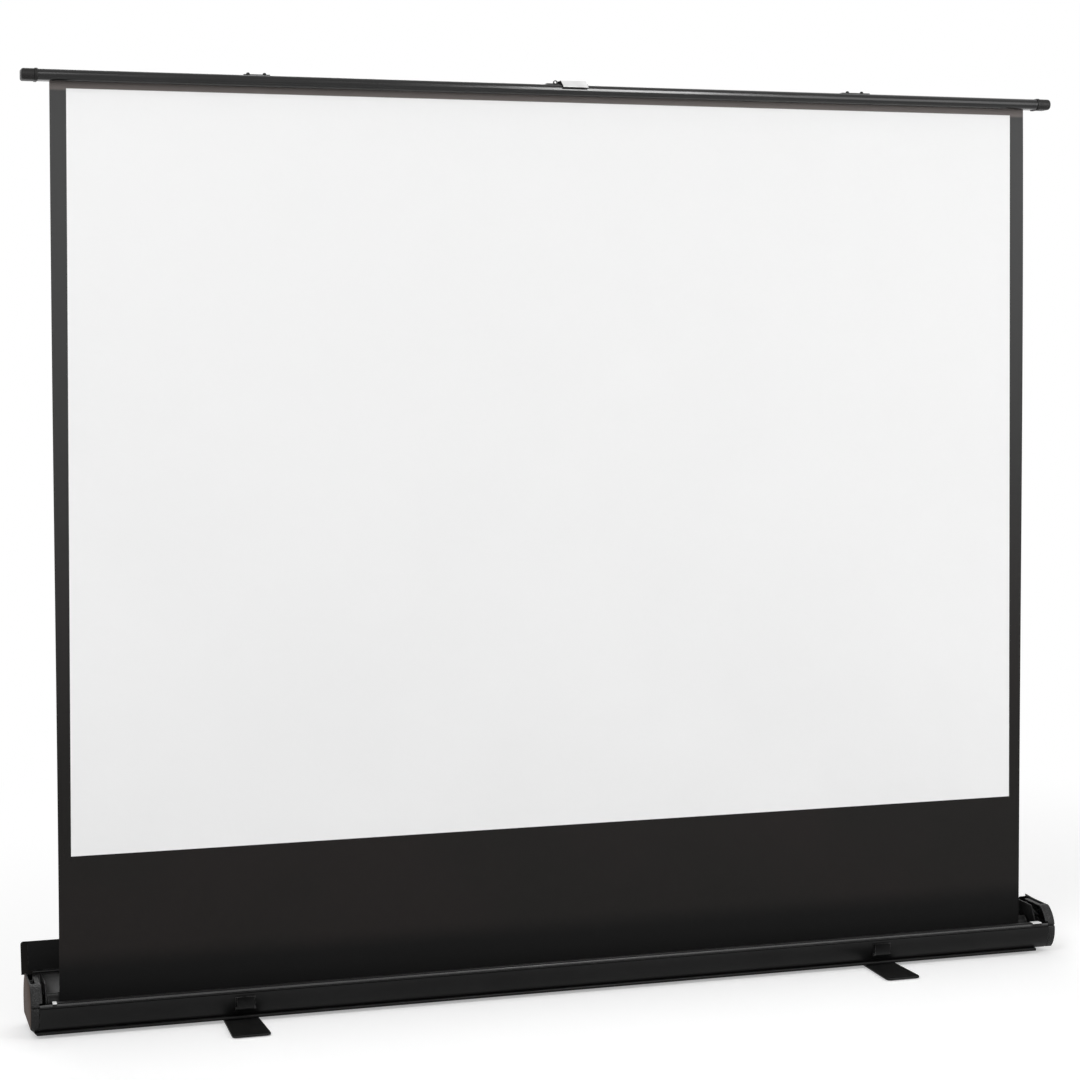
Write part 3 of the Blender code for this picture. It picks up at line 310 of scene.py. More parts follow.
def coated_metal(name, tone, roughness, gleam=0.22, wear=0.35, dust=0.05, lines=False, grain=1500.0):
    """Black powder coat on metal: speckle, worn edges that show paler, and a little dust."""
    made, tree, shader, position = new_material(name)
    speckle = place_effect(tree, "powder_speckle", {"Position": position, "Grain": grain})
    worn = place_effect(tree, "rubbed_edges", {"Position": position})["Mask"]
    dusty = place_effect(tree, "settled_dust", {"Position": position, "Amount": dust})["Mask"]
    clouds = spread(tree, speckle["Tone"], -0.12, 0.12)
    coat = blend_colours(tree, clouds, grey(tone * 0.85), grey(tone * 1.15))
    rubbed = blend_colours(tree, calc(tree, "MULTIPLY", worn, wear), coat, RUBBED_METAL)
    rough = calc(tree, "ADD", speckle["Gloss"], roughness)
    height = speckle["Height"]
    if lines:
        drawn = place_effect(tree, "die_lines", {"Position": position})
        rough = calc(tree, "ADD", rough, drawn["Gloss"])
        height = calc(tree, "ADD", height, calc(tree, "MULTIPLY", drawn["Height"], 0.8))
    feed(tree, shader, {
        "Base Color": blend_colours(tree, dusty, rubbed, DUST),
        "Roughness": calc(tree, "ADD", rough, calc(tree, "MULTIPLY", dusty, 0.4)),
        "Specular IOR Level": gleam,
        "Normal": bump(tree, height, 0.00002),
    })
    return made


def moulded_plastic(name, colour, roughness, gleam=0.22, depth=0.00005, cells=900.0, dust=0.04):
    """Moulded plastic: a leathery grain, corners rubbed paler and a little dust."""
    made, tree, shader, position = new_material(name)
    grain = place_effect(tree, "moulded_grain", {"Position": position, "Cells": cells})
    worn = place_effect(tree, "rubbed_edges", {"Position": position})["Mask"]
    dusty = place_effect(tree, "settled_dust", {"Position": position, "Amount": dust})["Mask"]
    paler = tuple(min(1.0, c * 1.6 + 0.01) for c in colour[:3]) + (1.0,)
    rubbed = blend_colours(tree, calc(tree, "MULTIPLY", worn, 0.5), colour, paler)
    feed(tree, shader, {
        "Base Color": blend_colours(tree, dusty, rubbed, DUST),
        "Roughness": calc(tree, "ADD", grain["Gloss"], roughness),
        "Specular IOR Level": gleam,
        "Normal": bump(tree, grain["Height"], depth),
    })
    return made


def bare_metal(name, tone, roughness, fineness=700.0):
    """Bright drawn metal: fine lines in height and gloss, duller patches where it is handled."""
    made, tree, shader, position = new_material(name)
    drawn = place_effect(tree, "die_lines", {"Position": position, "Fineness": fineness})
    hazy = noise(tree, position, 40.0, 4.0)
    dull = spread(tree, hazy, 0.35, 0.7, roughness, roughness + 0.12)
    feed(tree, shader, {
        "Base Color": blend_colours(tree, hazy, grey(tone * 0.9), grey(tone)),
        "Metallic": 1.0,
        "Roughness": calc(tree, "ADD", drawn["Gloss"], dull),
        "Normal": bump(tree, drawn["Height"], 0.00001),
    })
    return made


def coated_cloth(name, low, high, painted_top_sheen, roughness, gleam, hem=None):
    """Coated cloth: its tone drifts a little, lifts towards the bar as a painted sheen and falls to black as
    painted shade at the case's mouth.

    The painted shade follows the cloth's height over the floor, so that what is left to see of a lowered
    sheet is black. A hem is a painted highlight on the strip right under the bar.
    """
    made, tree, shader, position = new_material(name)
    place = add(tree, "UVMap", uv_map="flat_sheet").outputs[0]
    weave = place_effect(tree, "plain_weave", {"Place": place, "Threads": 1100.0})
    drifting = blend_colours(tree, spread(tree, weave["Tone"], -1.0, 1.0), low, high)
    sheet_height = add(tree, "SeparateXYZ", {0: place}).outputs[1]
    # Painted sheen: the tone is lifted towards the bar by the sheet's height.
    lit = blend_colours(tree, spread(tree, sheet_height, IMAGE_BOTTOM, BAR_BOTTOM), drifting, painted_top_sheen)
    if hem:
        # Painted highlight on the strip right under the bar.
        lit = blend_colours(tree, spread(tree, sheet_height, IMAGE_TOP - 0.006, IMAGE_TOP), lit, hem)
    floor_height = add(tree, "SeparateXYZ", {0: position}).outputs[2]
    # Painted shade: near and below the case's mouth the cloth is darkened to SHADE, also when lowered.
    painted_case_shade = spread(tree, floor_height, CASE_TOP + 0.008, CASE_TOP + 0.060, 1.0, 0.0)
    feed(tree, shader, {
        "Base Color": blend_colours(tree, painted_case_shade, lit, SHADE),
        "Roughness": spread(tree, weave["Height"], -1.0, 1.3, roughness - 0.05, roughness + 0.05),
        "Specular IOR Level": gleam,
        "Normal": bump(tree, weave["Height"], 0.00003),
    })
    return made


LOOKS = {
    "case": coated_metal("case_black_coat", 0.0056, 0.36, gleam=0.13, lines=True),
    # Painted highlight: a pale tone along the lip's top stands in for the light on its edge.
    "lip": coated_metal("lip_painted_highlight_coat", 0.035, 0.30, gleam=0.35, lines=True),
    # Painted shade: the groove is coloured near black.
    "groove": coated_metal("groove_painted_shade_coat", 0.0010, 0.60, gleam=0.03, wear=0.0, dust=0.0),
    "lid": coated_metal("lid_black_coat", 0.0040, 0.45, gleam=0.06, dust=0.02, lines=True),
    # Painted light: the inside of the back wall is coloured pale grey for the light that falls on it.
    "case inside": coated_metal("case_inside_painted_light_coat", 0.34, 0.45, wear=0.1, lines=True),
    "bar": coated_metal("bar_black_coat", 0.0060, 0.20, gleam=0.35, lines=True),
    "arm": coated_metal("arm_black_coat", 0.0200, 0.42),
    "black steel": coated_metal(
        "pressed_black_steel", 0.0055, 0.40, gleam=0.14, wear=0.5, dust=0.02, grain=1100.0,
    ),
    "moulding": moulded_plastic("black_moulding", grey(0.0090, 0.05), 0.46),
    "lid end": moulded_plastic("lid_end_moulding", grey(0.0045, 0.12), 0.55, gleam=0.08),
    "cap face": moulded_plastic("cap_outer_face", CAP_BROWN, 0.65, gleam=0.12, depth=0.00003),
    "cap rim": moulded_plastic("cap_knurled_rim", grey(0.0060), 0.5, depth=0.0012, cells=300.0),
    "steel": bare_metal("bright_steel", 0.55, 0.25),
    "nylon": moulded_plastic("white_nylon", grey(0.80), 0.40, depth=0.00002, cells=1500.0, dust=0.02),
    "rubber": moulded_plastic("black_rubber", grey(0.012), 0.85, depth=0.0001, cells=500.0),
    "plate": bare_metal("pale_brushed_plate", 0.72, 0.38, fineness=900.0),
    "white cloth": coated_cloth(
        "white_screen_cloth", grey(0.885), grey(0.900), grey(0.885), roughness=0.85, gleam=0.2,
    ),
    # Black cloth: its third colour is a painted sheen towards the bar, its hem colour a painted highlight.
    "black cloth": coated_cloth(
        "black_border_cloth", grey(0.0095, 0.08), WARM_BLACK, grey(0.058),
        roughness=0.7, gleam=0.12, hem=HEM_PAINTED_HIGHLIGHT,
    ),
}


# Outlines and meshes


def arc(centre, radius, start, end, count):
    """Points centre + radius * (cos, sin) of evenly spaced angles in degrees."""
    angle = np.radians(np.linspace(start, end, count + 1))
    return np.stack([centre[0] + radius * np.cos(angle), centre[1] + radius * np.sin(angle)], -1)


def joined(*runs):
    return np.concatenate([np.asarray(run, float).reshape(-1, 2) for run in runs])


def softened_corners(outline, radius=0.0005, steps=3, least=35):
    """Each corner sharper than least degrees becomes a quadratic curve between points radius away from it."""
    before = np.roll(outline, 1, 0) - outline
    after = np.roll(outline, -1, 0) - outline
    long_before = np.linalg.norm(before, axis=1, keepdims=True)
    long_after = np.linalg.norm(after, axis=1, keepdims=True)
    straight = -np.sum(before * after, 1, keepdims=True) / np.maximum(long_before * long_after, 1e-12)
    turn = np.degrees(np.arccos(np.clip(straight, -1, 1)))
    reach = np.where(turn > least, np.minimum(radius, 0.45 * np.minimum(long_before, long_after)), 0.0)
    start = outline + before / np.maximum(long_before, 1e-12) * reach
    end = outline + after / np.maximum(long_after, 1e-12) * reach
    t = np.linspace(0, 1, steps + 1)[None, :, None]
    curve = (1 - t) ** 2 * start[:, None] + 2 * t * (1 - t) * outline[:, None] + t ** 2 * end[:, None]
    points = curve.reshape(-1, 2)
    keep = np.linalg.norm(points - np.roll(points, 1, 0), axis=1) > 0.00001
    return points[keep]


def inset_outline(outline, distance):
    """Move each point inwards along its two sides' mean normal: distance over the cosine of half the turn."""
    run = np.roll(outline, -1, 0) - outline
    run = run / np.maximum(np.linalg.norm(run, axis=1, keepdims=True), 1e-12)
    normal = np.stack([-run[:, 1], run[:, 0]], -1)
    area = np.sum(outline[:, 0] * np.roll(outline[:, 1], -1) - outline[:, 1] * np.roll(outline[:, 0], -1))
    normal = normal * np.sign(area)
    mean = normal + np.roll(normal, 1, 0)
    mean = mean / np.maximum(np.sum(mean * mean, 1, keepdims=True) / 2, 0.5)
    return outline + mean * distance


def eased(low, high, edge):
    """Stations for a straight run whose two end faces have rounded edges."""
    quarter = np.radians(np.linspace(0, 90, 4))
    start = [(low + edge * (1 - cos(a)), edge * (1 - sin(a))) for a in quarter]
    end = [(high - edge * (1 - cos(a)), edge * (1 - sin(a))) for a in quarter[::-1]]
    return start + end


def placed(name, mesh, *looks):
    """Link a mesh as an object with its looks."""
    obj = bpy.data.objects.new(name, mesh)
    bpy.context.scene.collection.objects.link(obj)
    for look in looks:
        mesh.materials.append(LOOKS[look])
    return obj


def shaded(mesh, corner):
    """Shade a mesh smooth between the edges that turn by more than corner degrees."""
    mesh.shade_smooth()
    mesh.set_sharp_from_angle(angle=radians(corner))


def ringed(name, rings, look, corner):
    """A closed mesh: rings of equal count joined one to the next with quads, the first and last closed."""
    stations, count = rings.shape[:2]
    i = np.arange(stations - 1)[:, None] * count
    j = np.arange(count)[None, :]
    k = (j + 1) % count
    quads = np.stack([i + j, i + k, i + count + k, i + count + j], -1).reshape(-1, 4)
    ends = [np.arange(count)[::-1], np.arange(count) + (stations - 1) * count]
    mesh = bpy.data.meshes.new(name)
    faces = [face.tolist() for face in (*quads, *ends)]
    mesh.from_pydata(rings.reshape(-1, 3).tolist(), [], faces)
    bm = bmesh.new()
    bm.from_mesh(mesh)
    bmesh.ops.remove_doubles(bm, verts=bm.verts, dist=0.000002)
    bmesh.ops.recalc_face_normals(bm, faces=bm.faces)
    bm.to_mesh(mesh)
    bm.free()
    shaded(mesh, corner)
    return placed(name, mesh, look)


AXIS_ORDER = {"x": [2, 0, 1], "z": [0, 1, 2]}


def carried(name, axis, outline, stations, look, corner=35):
    """Carry an outline, (y, z) along x or (x, y) along z, through stations of a place and an inset."""
    rings = np.stack([
        np.column_stack([inset_outline(outline, inset), np.full(len(outline), place)])
        for place, inset in stations
    ])
    return ringed(name, rings[..., AXIS_ORDER[axis]], look, corner)


def go_with(obj, node):
    """A piece that rides with a node's body."""
    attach(obj, BODY_OF[node])


def dress(obj, node):
    """A piece that stands for a CAD node."""
    go_with(obj, node)
    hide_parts(node)


def softened(node, look, width):
    """A copy of a CAD solid: its triangles merged, its flat faces made whole, its edges eased."""
    bm = bmesh.new()
    bm.from_mesh(NODES[node].data)
    bmesh.ops.remove_doubles(bm, verts=bm.verts, dist=0.00001)
    bmesh.ops.dissolve_limit(bm, angle_limit=radians(0.6), verts=bm.verts, edges=bm.edges)
    mesh = bpy.data.meshes.new(node + "_finished")
    bm.to_mesh(mesh)
    bm.free()
    shaded(mesh, 50)
    obj = placed(node + "_finished", mesh, look)
    bevel = obj.modifiers.new("Eased edges", "BEVEL")
    bevel.width = width
    bevel.segments = 2
    bevel.limit_method = "ANGLE"
    bevel.angle_limit = radians(50)
    bevel.harden_normals = True
    dress(obj, node)
    return obj


def tinted(obj, look, chosen):
    """Give one more look to the faces whose centre and normal the rule chooses."""
    mesh = obj.data
    mesh.materials.append(LOOKS[look])
    centre = np.zeros((len(mesh.polygons), 3))
    normal = np.zeros((len(mesh.polygons), 3))
    mesh.polygons.foreach_get("center", centre.ravel())
    mesh.polygons.foreach_get("normal", normal.ravel())
    old = np.zeros(len(mesh.polygons), np.int32)
    mesh.polygons.foreach_get("material_index", old)
    new = np.where(chosen(centre, normal), len(mesh.materials) - 1, old)
    mesh.polygons.foreach_set("material_index", new)


# Case


def side_angle(z, radius):
    return degrees(asin((z - SIDE_CENTRE[1]) / radius))


def wall_y(z, radius=SIDE_RADIUS):
    """The front wall's face at a height."""
    return -SIDE_CENTRE[0] - radius * cos(radians(side_angle(z, radius)))


def front_side(z_from, z_to, radius=SIDE_RADIUS, count=24):
    """A run along the front wall's half circle between two heights."""
    centre = (-SIDE_CENTRE[0], SIDE_CENTRE[1])
    return arc(centre, radius, 180 - side_angle(z_from, radius), 180 - side_angle(z_to, radius), count)


def back_side(z_from, z_to, radius=SIDE_RADIUS):
    return front_side(z_from, z_to, radius) * (-1, 1)


def groove_run(radius, z_from, z_to):
    """The groove's foot and top as a step in the wall, its two sides a little sloped."""
    slope = 0.0003 if z_to > z_from else -0.0003
    near, far = wall_y(z_from, radius), wall_y(z_to, radius)
    depth = GROOVE[2]
    return [(near, z_from), (near + depth, z_from + slope), (far + depth, z_to - slope), (far, z_to)]


def case_shell():
    """The case's extrusion: grooved front wall, floor, taller back wall with the lid's bead."""
    inner = SIDE_RADIUS - WALL
    floor = CASE_BOTTOM + WALL
    low, high, _ = GROOVE
    lip_z = LIP_TOP - LIP_RADIUS
    rib_front, rib_back = FLOOR_RIB_Y
    rib_top = floor + FLOOR_RIB_HEIGHT
    outline = joined(
        groove_run(SIDE_RADIUS, high, low),
        front_side(low, CASE_BOTTOM)[1:],
        back_side(CASE_BOTTOM, BACK_WALL_TOP),
        [(LID_AXIS[0] - 0.0013, BACK_WALL_TOP)],
        arc(LID_AXIS, BEAD_RADIUS, -99, 232, 24),
        back_side(BACK_WALL_TOP, floor, inner),
        [(rib_back, floor), (rib_back, rib_top), (rib_front, rib_top), (rib_front, floor)],
        front_side(floor, low - 0.0012, inner),
        groove_run(inner, low - 0.0004, high + 0.0008),
        arc((wall_y(lip_z) + LIP_RADIUS, lip_z), LIP_RADIUS, 0, 180, 12),
    )
    half = CASE_HALF - CAP_WIDTH - GAP
    shell = carried("case_shell", "x", softened_corners(outline), eased(-half, half, 0.0002), "case")
    dress(shell, "case_tray")

    def back_wall_inside(at, out):
        return (at[:, 1] > 0.045) & (out[:, 1] < -0.4) & (at[:, 2] < BACK_WALL_TOP)

    lip_foot = high + 0.0003
    groove_back = wall_y(low) + 0.0017
    # Painted light on the inside of the back wall.
    tinted(shell, "case inside", back_wall_inside)
    # Painted highlight along the lip's top.
    tinted(shell, "lip", lambda at, out: (at[:, 1] < 0) & (at[:, 2] > lip_foot))
    # Painted shade in the groove.
    tinted(
        shell, "groove",
        lambda at, out: (at[:, 1] < groove_back) & (at[:, 2] > low - 0.0004) & (at[:, 2] < lip_foot),
    )


def cap_brow(side, word):
    """The cap's inward brow: a band along the front profile above the wall's edge, and a flat top."""
    top, low, wall, rear = CASE_TOP - 0.0006, 0.0722, 0.0025, 0.0216
    outline = joined(
        front_side(top, low, SIDE_RADIUS - 0.0006, 16),
        front_side(low, top - wall, SIDE_RADIUS - 0.0036, 16),
        [(rear, top - wall), (rear, top)],
    )
    ends = sorted((side * 1.0780, side * (CASE_HALF - CAP_WIDTH + 0.0040)))
    brow = carried("cap_brow_" + word, "x", softened_corners(outline), eased(*ends, 0.0004), "cap rim")
    go_with(brow, "end_cap_" + word)


def cap_finger():
    """A thin finger over the right cap's open top, free at its rear end."""
    outline = joined(
        [(0.0150, 0.0985), (0.0560, 0.1020)],
        arc((0.0560, 0.1032), 0.0012, -90, 90, 8),
        [(0.0190, 0.1022), (0.0150, 0.1022)],
    )
    ends = (CASE_HALF - 0.0030, CASE_HALF - 0.0004)
    go_with(carried("cap_finger", "x", outline, eased(*ends, 0.0003), "moulding"), "end_cap_right")


def guard_strip():
    """The strip behind the wall's top edge: a leg and a short roof with a round nose."""
    front = wall_y(LIP_TOP - LIP_RADIUS) + 2 * LIP_RADIUS + GAP
    leg_back = front + GUARD_WALL
    foot = GROOVE[0] - 0.0020
    outline = joined(
        arc((front + 0.0020, GUARD_TOP - 0.0020), 0.0020, 180, 90, 6),
        [(GUARD_BACK - 0.0006, GUARD_TOP - 0.0003), (GUARD_BACK, GUARD_TOP - 0.0010)],
        [(GUARD_BACK - 0.0006, GUARD_TOP - 0.0018), (front + 0.0027, GUARD_TOP - GUARD_WALL)],
        [(leg_back, GUARD_TOP - 0.0025), (leg_back, foot), (front, foot)],
    )
    outline = softened_corners(outline, 0.0004, least=25)
    dress(carried("guard_strip", "x", outline, eased(*GUARD_X, 0.0004), "case"), "lip_guard")


# Lid


def leaned(points):
    """Turn points of the lid's upright section back about its axis, to where it stands open."""
    points = np.asarray(points, float).reshape(-1, 2)
    y = LID_AXIS[0] + points[:, 0] * cos(LID_LEAN) + points[:, 1] * sin(LID_LEAN)
    z = LID_AXIS[1] - points[:, 0] * sin(LID_LEAN) + points[:, 1] * cos(LID_LEAN)
    return np.stack([y, z], -1)


def lid_leaf():
    """The lid's leaf, its free edge rolled to the back."""
    front, back = LID_FACES
    leaf = joined(
        [(front, LID_FOOT), (back, LID_FOOT)],
        [(back, LID_WIDTH - 0.0044), (front + 2 * LID_ROLL, LID_WIDTH - 0.0032)],
        arc((front + LID_ROLL, LID_WIDTH - LID_ROLL), LID_ROLL, 0, 180, 10),
    )
    leaf = leaned(softened_corners(leaf))
    dress(carried("lid_leaf", "x", leaf, eased(*LID_X, 0.0003), "lid"), "rear_lid")


def lid_claw():
    """The claw along the leaf's foot, which clips round the case's bead."""
    front, back = LID_FACES
    meet = degrees(acos(front / CLAW_OUTER))
    claw = joined(
        arc((0, 0), CLAW_OUTER, -77, -8, 8),
        [(back, 0.0010), (back, 0.0046), (front, 0.0046)],
        arc((0, 0), CLAW_OUTER, meet, 115, 8),
        arc((0, 0), CLAW_INNER, 115, -77, 20),
    )
    claw = leaned(softened_corners(claw, 0.0003))
    go_with(carried("lid_claw", "x", claw, eased(CLAW_LEFT, LID_X[1], 0.0002), "lid"), "rear_lid")


def lid_heel():
    """The foot of the lid's left end, which closes the gap to the cap."""
    front, back = LID_FACES
    top = LID_FOOT + 0.0005
    heel = leaned([(front, HEEL_FOOT), (back, HEEL_FOOT), (back, top), (front, top)])
    stations = eased(LID_LEFT, CLAW_LEFT + 0.0003, 0.0003)
    go_with(carried("lid_heel", "x", heel, stations, "lid end"), "rear_lid")


# Feet


def foot_blade(side, word):
    """A flat steel blade, waisted at its middle, with round corners and rolled edges."""
    half, wide = FOOT_LENGTH / 2, FOOT_WIDTH / 2
    run = np.linspace(0, 1, 12)
    waist = np.column_stack([wide - FOOT_WAIST * (1 - run ** 2) ** 1.5, run * (half - FOOT_CORNER)])
    quarter = joined(waist[1:-1], arc((wide - FOOT_CORNER, half - FOOT_CORNER), FOOT_CORNER, 0, 90, 10))
    right = joined((quarter * (1, -1))[::-1], [(wide - FOOT_WAIST, 0.0)], quarter)
    outline = joined(right, right[::-1] * (-1, 1)) + (side * FOOT_X, 0)
    low, high = FOOT_Z
    stations = [(low, 0.0007), (low + 0.0002, 0.0002), (low + 0.0007, 0), (high - 0.0014, 0)]
    stations += [(high - 0.0006, 0.0004), (high - 0.0001, 0.0011), (high, 0.0019)]
    dress(carried("foot_blade_" + word, "z", outline, stations, "black steel", 50), "foot_" + word)


# Top bar


def bar_outline(inset=0.0):
    """The bar's section: a half-round nose in front and a square back with round corners."""
    middle = BAR_BOTTOM + BAR_HEIGHT / 2
    top = BAR_BOTTOM + BAR_HEIGHT
    corner = 0.003 - inset / 2
    rear = BAR_BACK - inset - corner
    return joined(
        arc((BAR_FRONT + BAR_HEIGHT / 2, middle), BAR_HEIGHT / 2 - inset, 90, 270, NOSE_POINTS - 1),
        arc((rear, BAR_BOTTOM + inset + corner), corner, 270, 360, 6),
        arc((rear, top - inset - corner), corner, 0, 90, 6),
    )


def bar_tube():
    """The hollow bar, open along its underside where the cloth goes in."""
    outer_nose, outer_back = np.split(bar_outline(), [NOSE_POINTS])
    inner_nose, inner_back = np.split(bar_outline(BAR_WALL), [NOSE_POINTS])
    slot_top = BAR_BOTTOM + BAR_WALL
    outline = joined(
        outer_nose,
        [(CLOTH_Y - BAR_SLOT, BAR_BOTTOM), (CLOTH_Y - BAR_SLOT, slot_top)],
        inner_nose[::-1],
        inner_back[::-1],
        [(CLOTH_Y + BAR_SLOT, slot_top), (CLOTH_Y + BAR_SLOT, BAR_BOTTOM)],
        outer_back,
    )
    outline = softened_corners(outline, 0.0003, steps=2, least=50)
    dress(carried("bar_tube", "x", outline, eased(-BAR_X, BAR_X, 0.0003), "bar"), "top_bar")


def bar_end(side, word):
    """The moulded plug's nose, swelling from the bar's section and rounding over at its end."""
    start, end = BAR_X + GAP, BAR_END - BAR_END_ROUND
    stations = [(start, 0.0004), (start + 0.0004, 0.0)]
    for angle in np.radians(np.linspace(0, 90, 8)):
        stations.append((end + BAR_END_ROUND * sin(angle), BAR_END_ROUND * (1 - cos(angle))))
    stations = [(side * x, inset) for x, inset in stations]
    nose = carried("bar_end_" + word, "x", bar_outline(-0.0004), stations, "moulding")
    dress(nose, "bar_plug_" + word)


def bar_ring(side, word):
    """The collar near the bar's end, a moulded ring with a crowned outer face."""
    profile = [(-0.0030, 0.0013), (-0.0030, 0.0006), (-0.0022, 0.0)]
    profile += [(-x, inset) for x, inset in profile[::-1]]
    stations = [(side * COLLAR_X + x, inset) for x, inset in profile]
    ring = carried("bar_ring_" + word, "x", bar_outline(-0.0016), stations, "moulding")
    dress(ring, "bar_collar_" + word)


# Cloth


def sheet_grid():
    """The sheet's middle face as arrays x, y and z: rows up into the bar, columns set on the borders' lines.

    Each row's half width grows upwards with a slight belly, and the face moves forwards by slow waves
    that fade at the roller and the bar, with a small curl along both side edges.
    """
    inner = IMAGE_HALF / CLOTH_HALF
    share = np.concatenate([
        np.linspace(-1, -inner, 9)[:-1],
        np.linspace(-1, 1, 97) * inner,
        np.linspace(inner, 1, 9)[1:],
    ])[None, :]
    z = np.concatenate([
        np.linspace(CLOTH_BOTTOM, IMAGE_BOTTOM, 33)[:-1],
        np.linspace(IMAGE_BOTTOM, IMAGE_TOP, 121),
        np.linspace(IMAGE_TOP, CLOTH_TOP, 6)[1:],
    ])[:, None]
    up = (z - CLOTH_BOTTOM) / (CLOTH_TOP - CLOTH_BOTTOM)
    half = CLOTH_HALF - TAPER * (1 - up) + BELLY * np.sin(pi * up) * (up - 0.35)
    border = (np.abs(share) - inner) / (1 - inner)
    in_border = np.sign(share) * (IMAGE_HALF + border * (half - IMAGE_HALF))
    x = np.where(np.abs(share) <= inner + 1e-9, share / inner * IMAGE_HALF, in_border)
    fade = np.sin(pi * up) ** 0.6
    wave = 0.0007 * (1 + np.sin(2.1 * x + 1.7 * z + 0.6)) + 0.0005 * (1 + np.sin(5.3 * x - 2.9 * z))
    edge = np.clip((np.abs(x) - (half - CURL_WIDTH)) / CURL_WIDTH, 0, 1)
    y = CLOTH_Y - fade * (wave + CURL * edge ** 2)
    return x, y, np.broadcast_to(z, x.shape)


def lay_flat(mesh, place):
    """Write a UV layer in metres of flat cloth: one row of place for each vertex."""
    corners = np.zeros(len(mesh.loops), np.int32)
    mesh.loops.foreach_get("vertex_index", corners)
    layer = mesh.uv_layers.new(name="flat_sheet")
    layer.data.foreach_set("uv", place[corners].ravel())


def screen_sheet():
    """One closed sheet: a front face, a back face and a hem round them; the white is on the front only."""
    x, y, z = sheet_grid()
    rows, cols = x.shape
    sides = [np.stack([x, y + shift, z], -1).reshape(-1, 3) for shift in (-CLOTH_SIDE, CLOTH_SIDE)]
    points = np.concatenate(sides)
    i = np.arange(rows - 1)[:, None] * cols
    j = np.arange(cols - 1)[None, :]
    front = np.stack([i + j, i + j + 1, i + cols + j + 1, i + cols + j], -1).reshape(-1, 4)
    behind = rows * cols
    rim = np.concatenate([
        np.arange(cols),
        np.arange(1, rows) * cols + cols - 1,
        (rows - 1) * cols + np.arange(cols - 1)[::-1],
        np.arange(1, rows - 1)[::-1] * cols,
    ])
    after = np.roll(rim, -1)
    hem = np.stack([rim, after, after + behind, rim + behind], -1)
    faces = np.concatenate([front, front[:, ::-1] + behind, hem])
    mesh = bpy.data.meshes.new("screen_sheet")
    mesh.from_pydata(points.tolist(), [], faces.tolist())
    shaded(mesh, 50)
    sheet = placed("screen_sheet", mesh, "white cloth", "black cloth")

    middle = points[faces].mean(1)
    in_height = (middle[:, 2] > IMAGE_BOTTOM) & (middle[:, 2] < IMAGE_TOP)
    white = (np.abs(middle[:, 0]) < IMAGE_HALF) & in_height & (np.arange(len(faces)) < len(front))
    mesh.polygons.foreach_set("material_index", np.where(white, 0, 1))
    lay_flat(mesh, points[:, [0, 2]])

    dress(sheet, "screen_fabric")
    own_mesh(sheet)


def wound_turns():
    """The turns left on the roller: an outline whose radius falls by one cloth's thickness round the tube."""
    angle = np.linspace(0, 2 * pi, 64, endpoint=False)
    radius = WRAP_RADIUS - 2 * CLOTH_SIDE * angle / (2 * pi)
    outline = np.stack([ROLLER[0] - radius * np.cos(angle), ROLLER[1] + radius * np.sin(angle)], -1)
    half = CLOTH_HALF - 0.007
    stations = [(-half, 0.0012 * TURNS), (-half, 0.0012), (-half + 0.0003, 0.0)]
    stations += [(-x, inset) for x, inset in stations[::-1]]
    made = carried("wound_turns", "x", outline, stations, "black cloth")
    place = np.zeros((len(made.data.vertices), 3))
    made.data.vertices.foreach_get("co", place.ravel())
    wound = np.arctan2(place[:, 2] - ROLLER[1], place[:, 1] - ROLLER[0]) * WRAP_RADIUS
    lay_flat(made.data, np.stack([place[:, 0], wound], -1))
    dress(made, "fabric_wraps")


# Springs


def coil(name, node, along, radius, wire, turns, pitch, axis, start):
    """A round wire wound about an X axis: y and z turn on the radius while x moves by pitch per turn."""
    turn = np.linspace(0, 2 * pi * turns, turns * 24 + 1)
    x = start + along * pitch * turn / (2 * pi)
    path = np.stack([x, axis[0] + radius * np.cos(turn), axis[1] + radius * np.sin(turn)], -1)
    run = np.gradient(path, axis=0)
    run /= np.linalg.norm(run, axis=1, keepdims=True)
    aside = np.cross(run, (1.0, 0.0, 0.0))
    aside /= np.linalg.norm(aside, axis=1, keepdims=True)
    up = np.cross(aside, run)
    angle = np.linspace(0, 2 * pi, WIRE_SIDES, endpoint=False)[None, :, None]
    rings = path[:, None] + wire * (np.cos(angle) * aside[:, None] + np.sin(angle) * up[:, None])
    dress(ringed(name, rings, "steel", 60), node)


# Camera, room and light


def photo_camera():
    """The photograph's viewing angle: about 18 degrees from the left of square on."""
    data = bpy.data.cameras.new("photo_camera")
    data.lens = 85.2
    data.sensor_width = 36.0
    data.shift_x = -0.0926
    data.shift_y = -0.135
    camera = bpy.data.objects.new("photo_camera", data)
    camera.location = (-1.532, -5.103, 1.354)
    camera.rotation_euler = (radians(88.76), radians(0.1), radians(-18.42))
    bpy.context.scene.collection.objects.link(camera)
    bpy.context.scene.camera = camera


def soft_light(name, place, aim, size, watts, diffuse=True):
    """An area lamp turned towards a point; without diffuse it only shows in glossy faces."""
    data = bpy.data.lights.new(name, "AREA")
    data.shape = "RECTANGLE"
    data.size, data.size_y = size
    data.energy = watts
    lamp = bpy.data.objects.new(name, data)
    lamp.location = place
    lamp.visible_diffuse = diffuse
    x, y, z = np.array(aim, float) - np.array(place, float)
    lamp.rotation_euler = (np.arctan2(np.hypot(x, y), -z), 0, np.arctan2(y, x) - pi / 2)
    bpy.context.scene.collection.objects.link(lamp)


def looked_at(tree):
    """1 for rays from the camera and for its reflections, 0 for the light that falls on things."""
    path = add(tree, "LightPath").outputs
    seen = calc(tree, "MAXIMUM", path["Is Camera Ray"], path["Is Glossy Ray"])
    return calc(tree, "MAXIMUM", seen, path["Is Transmission Ray"])


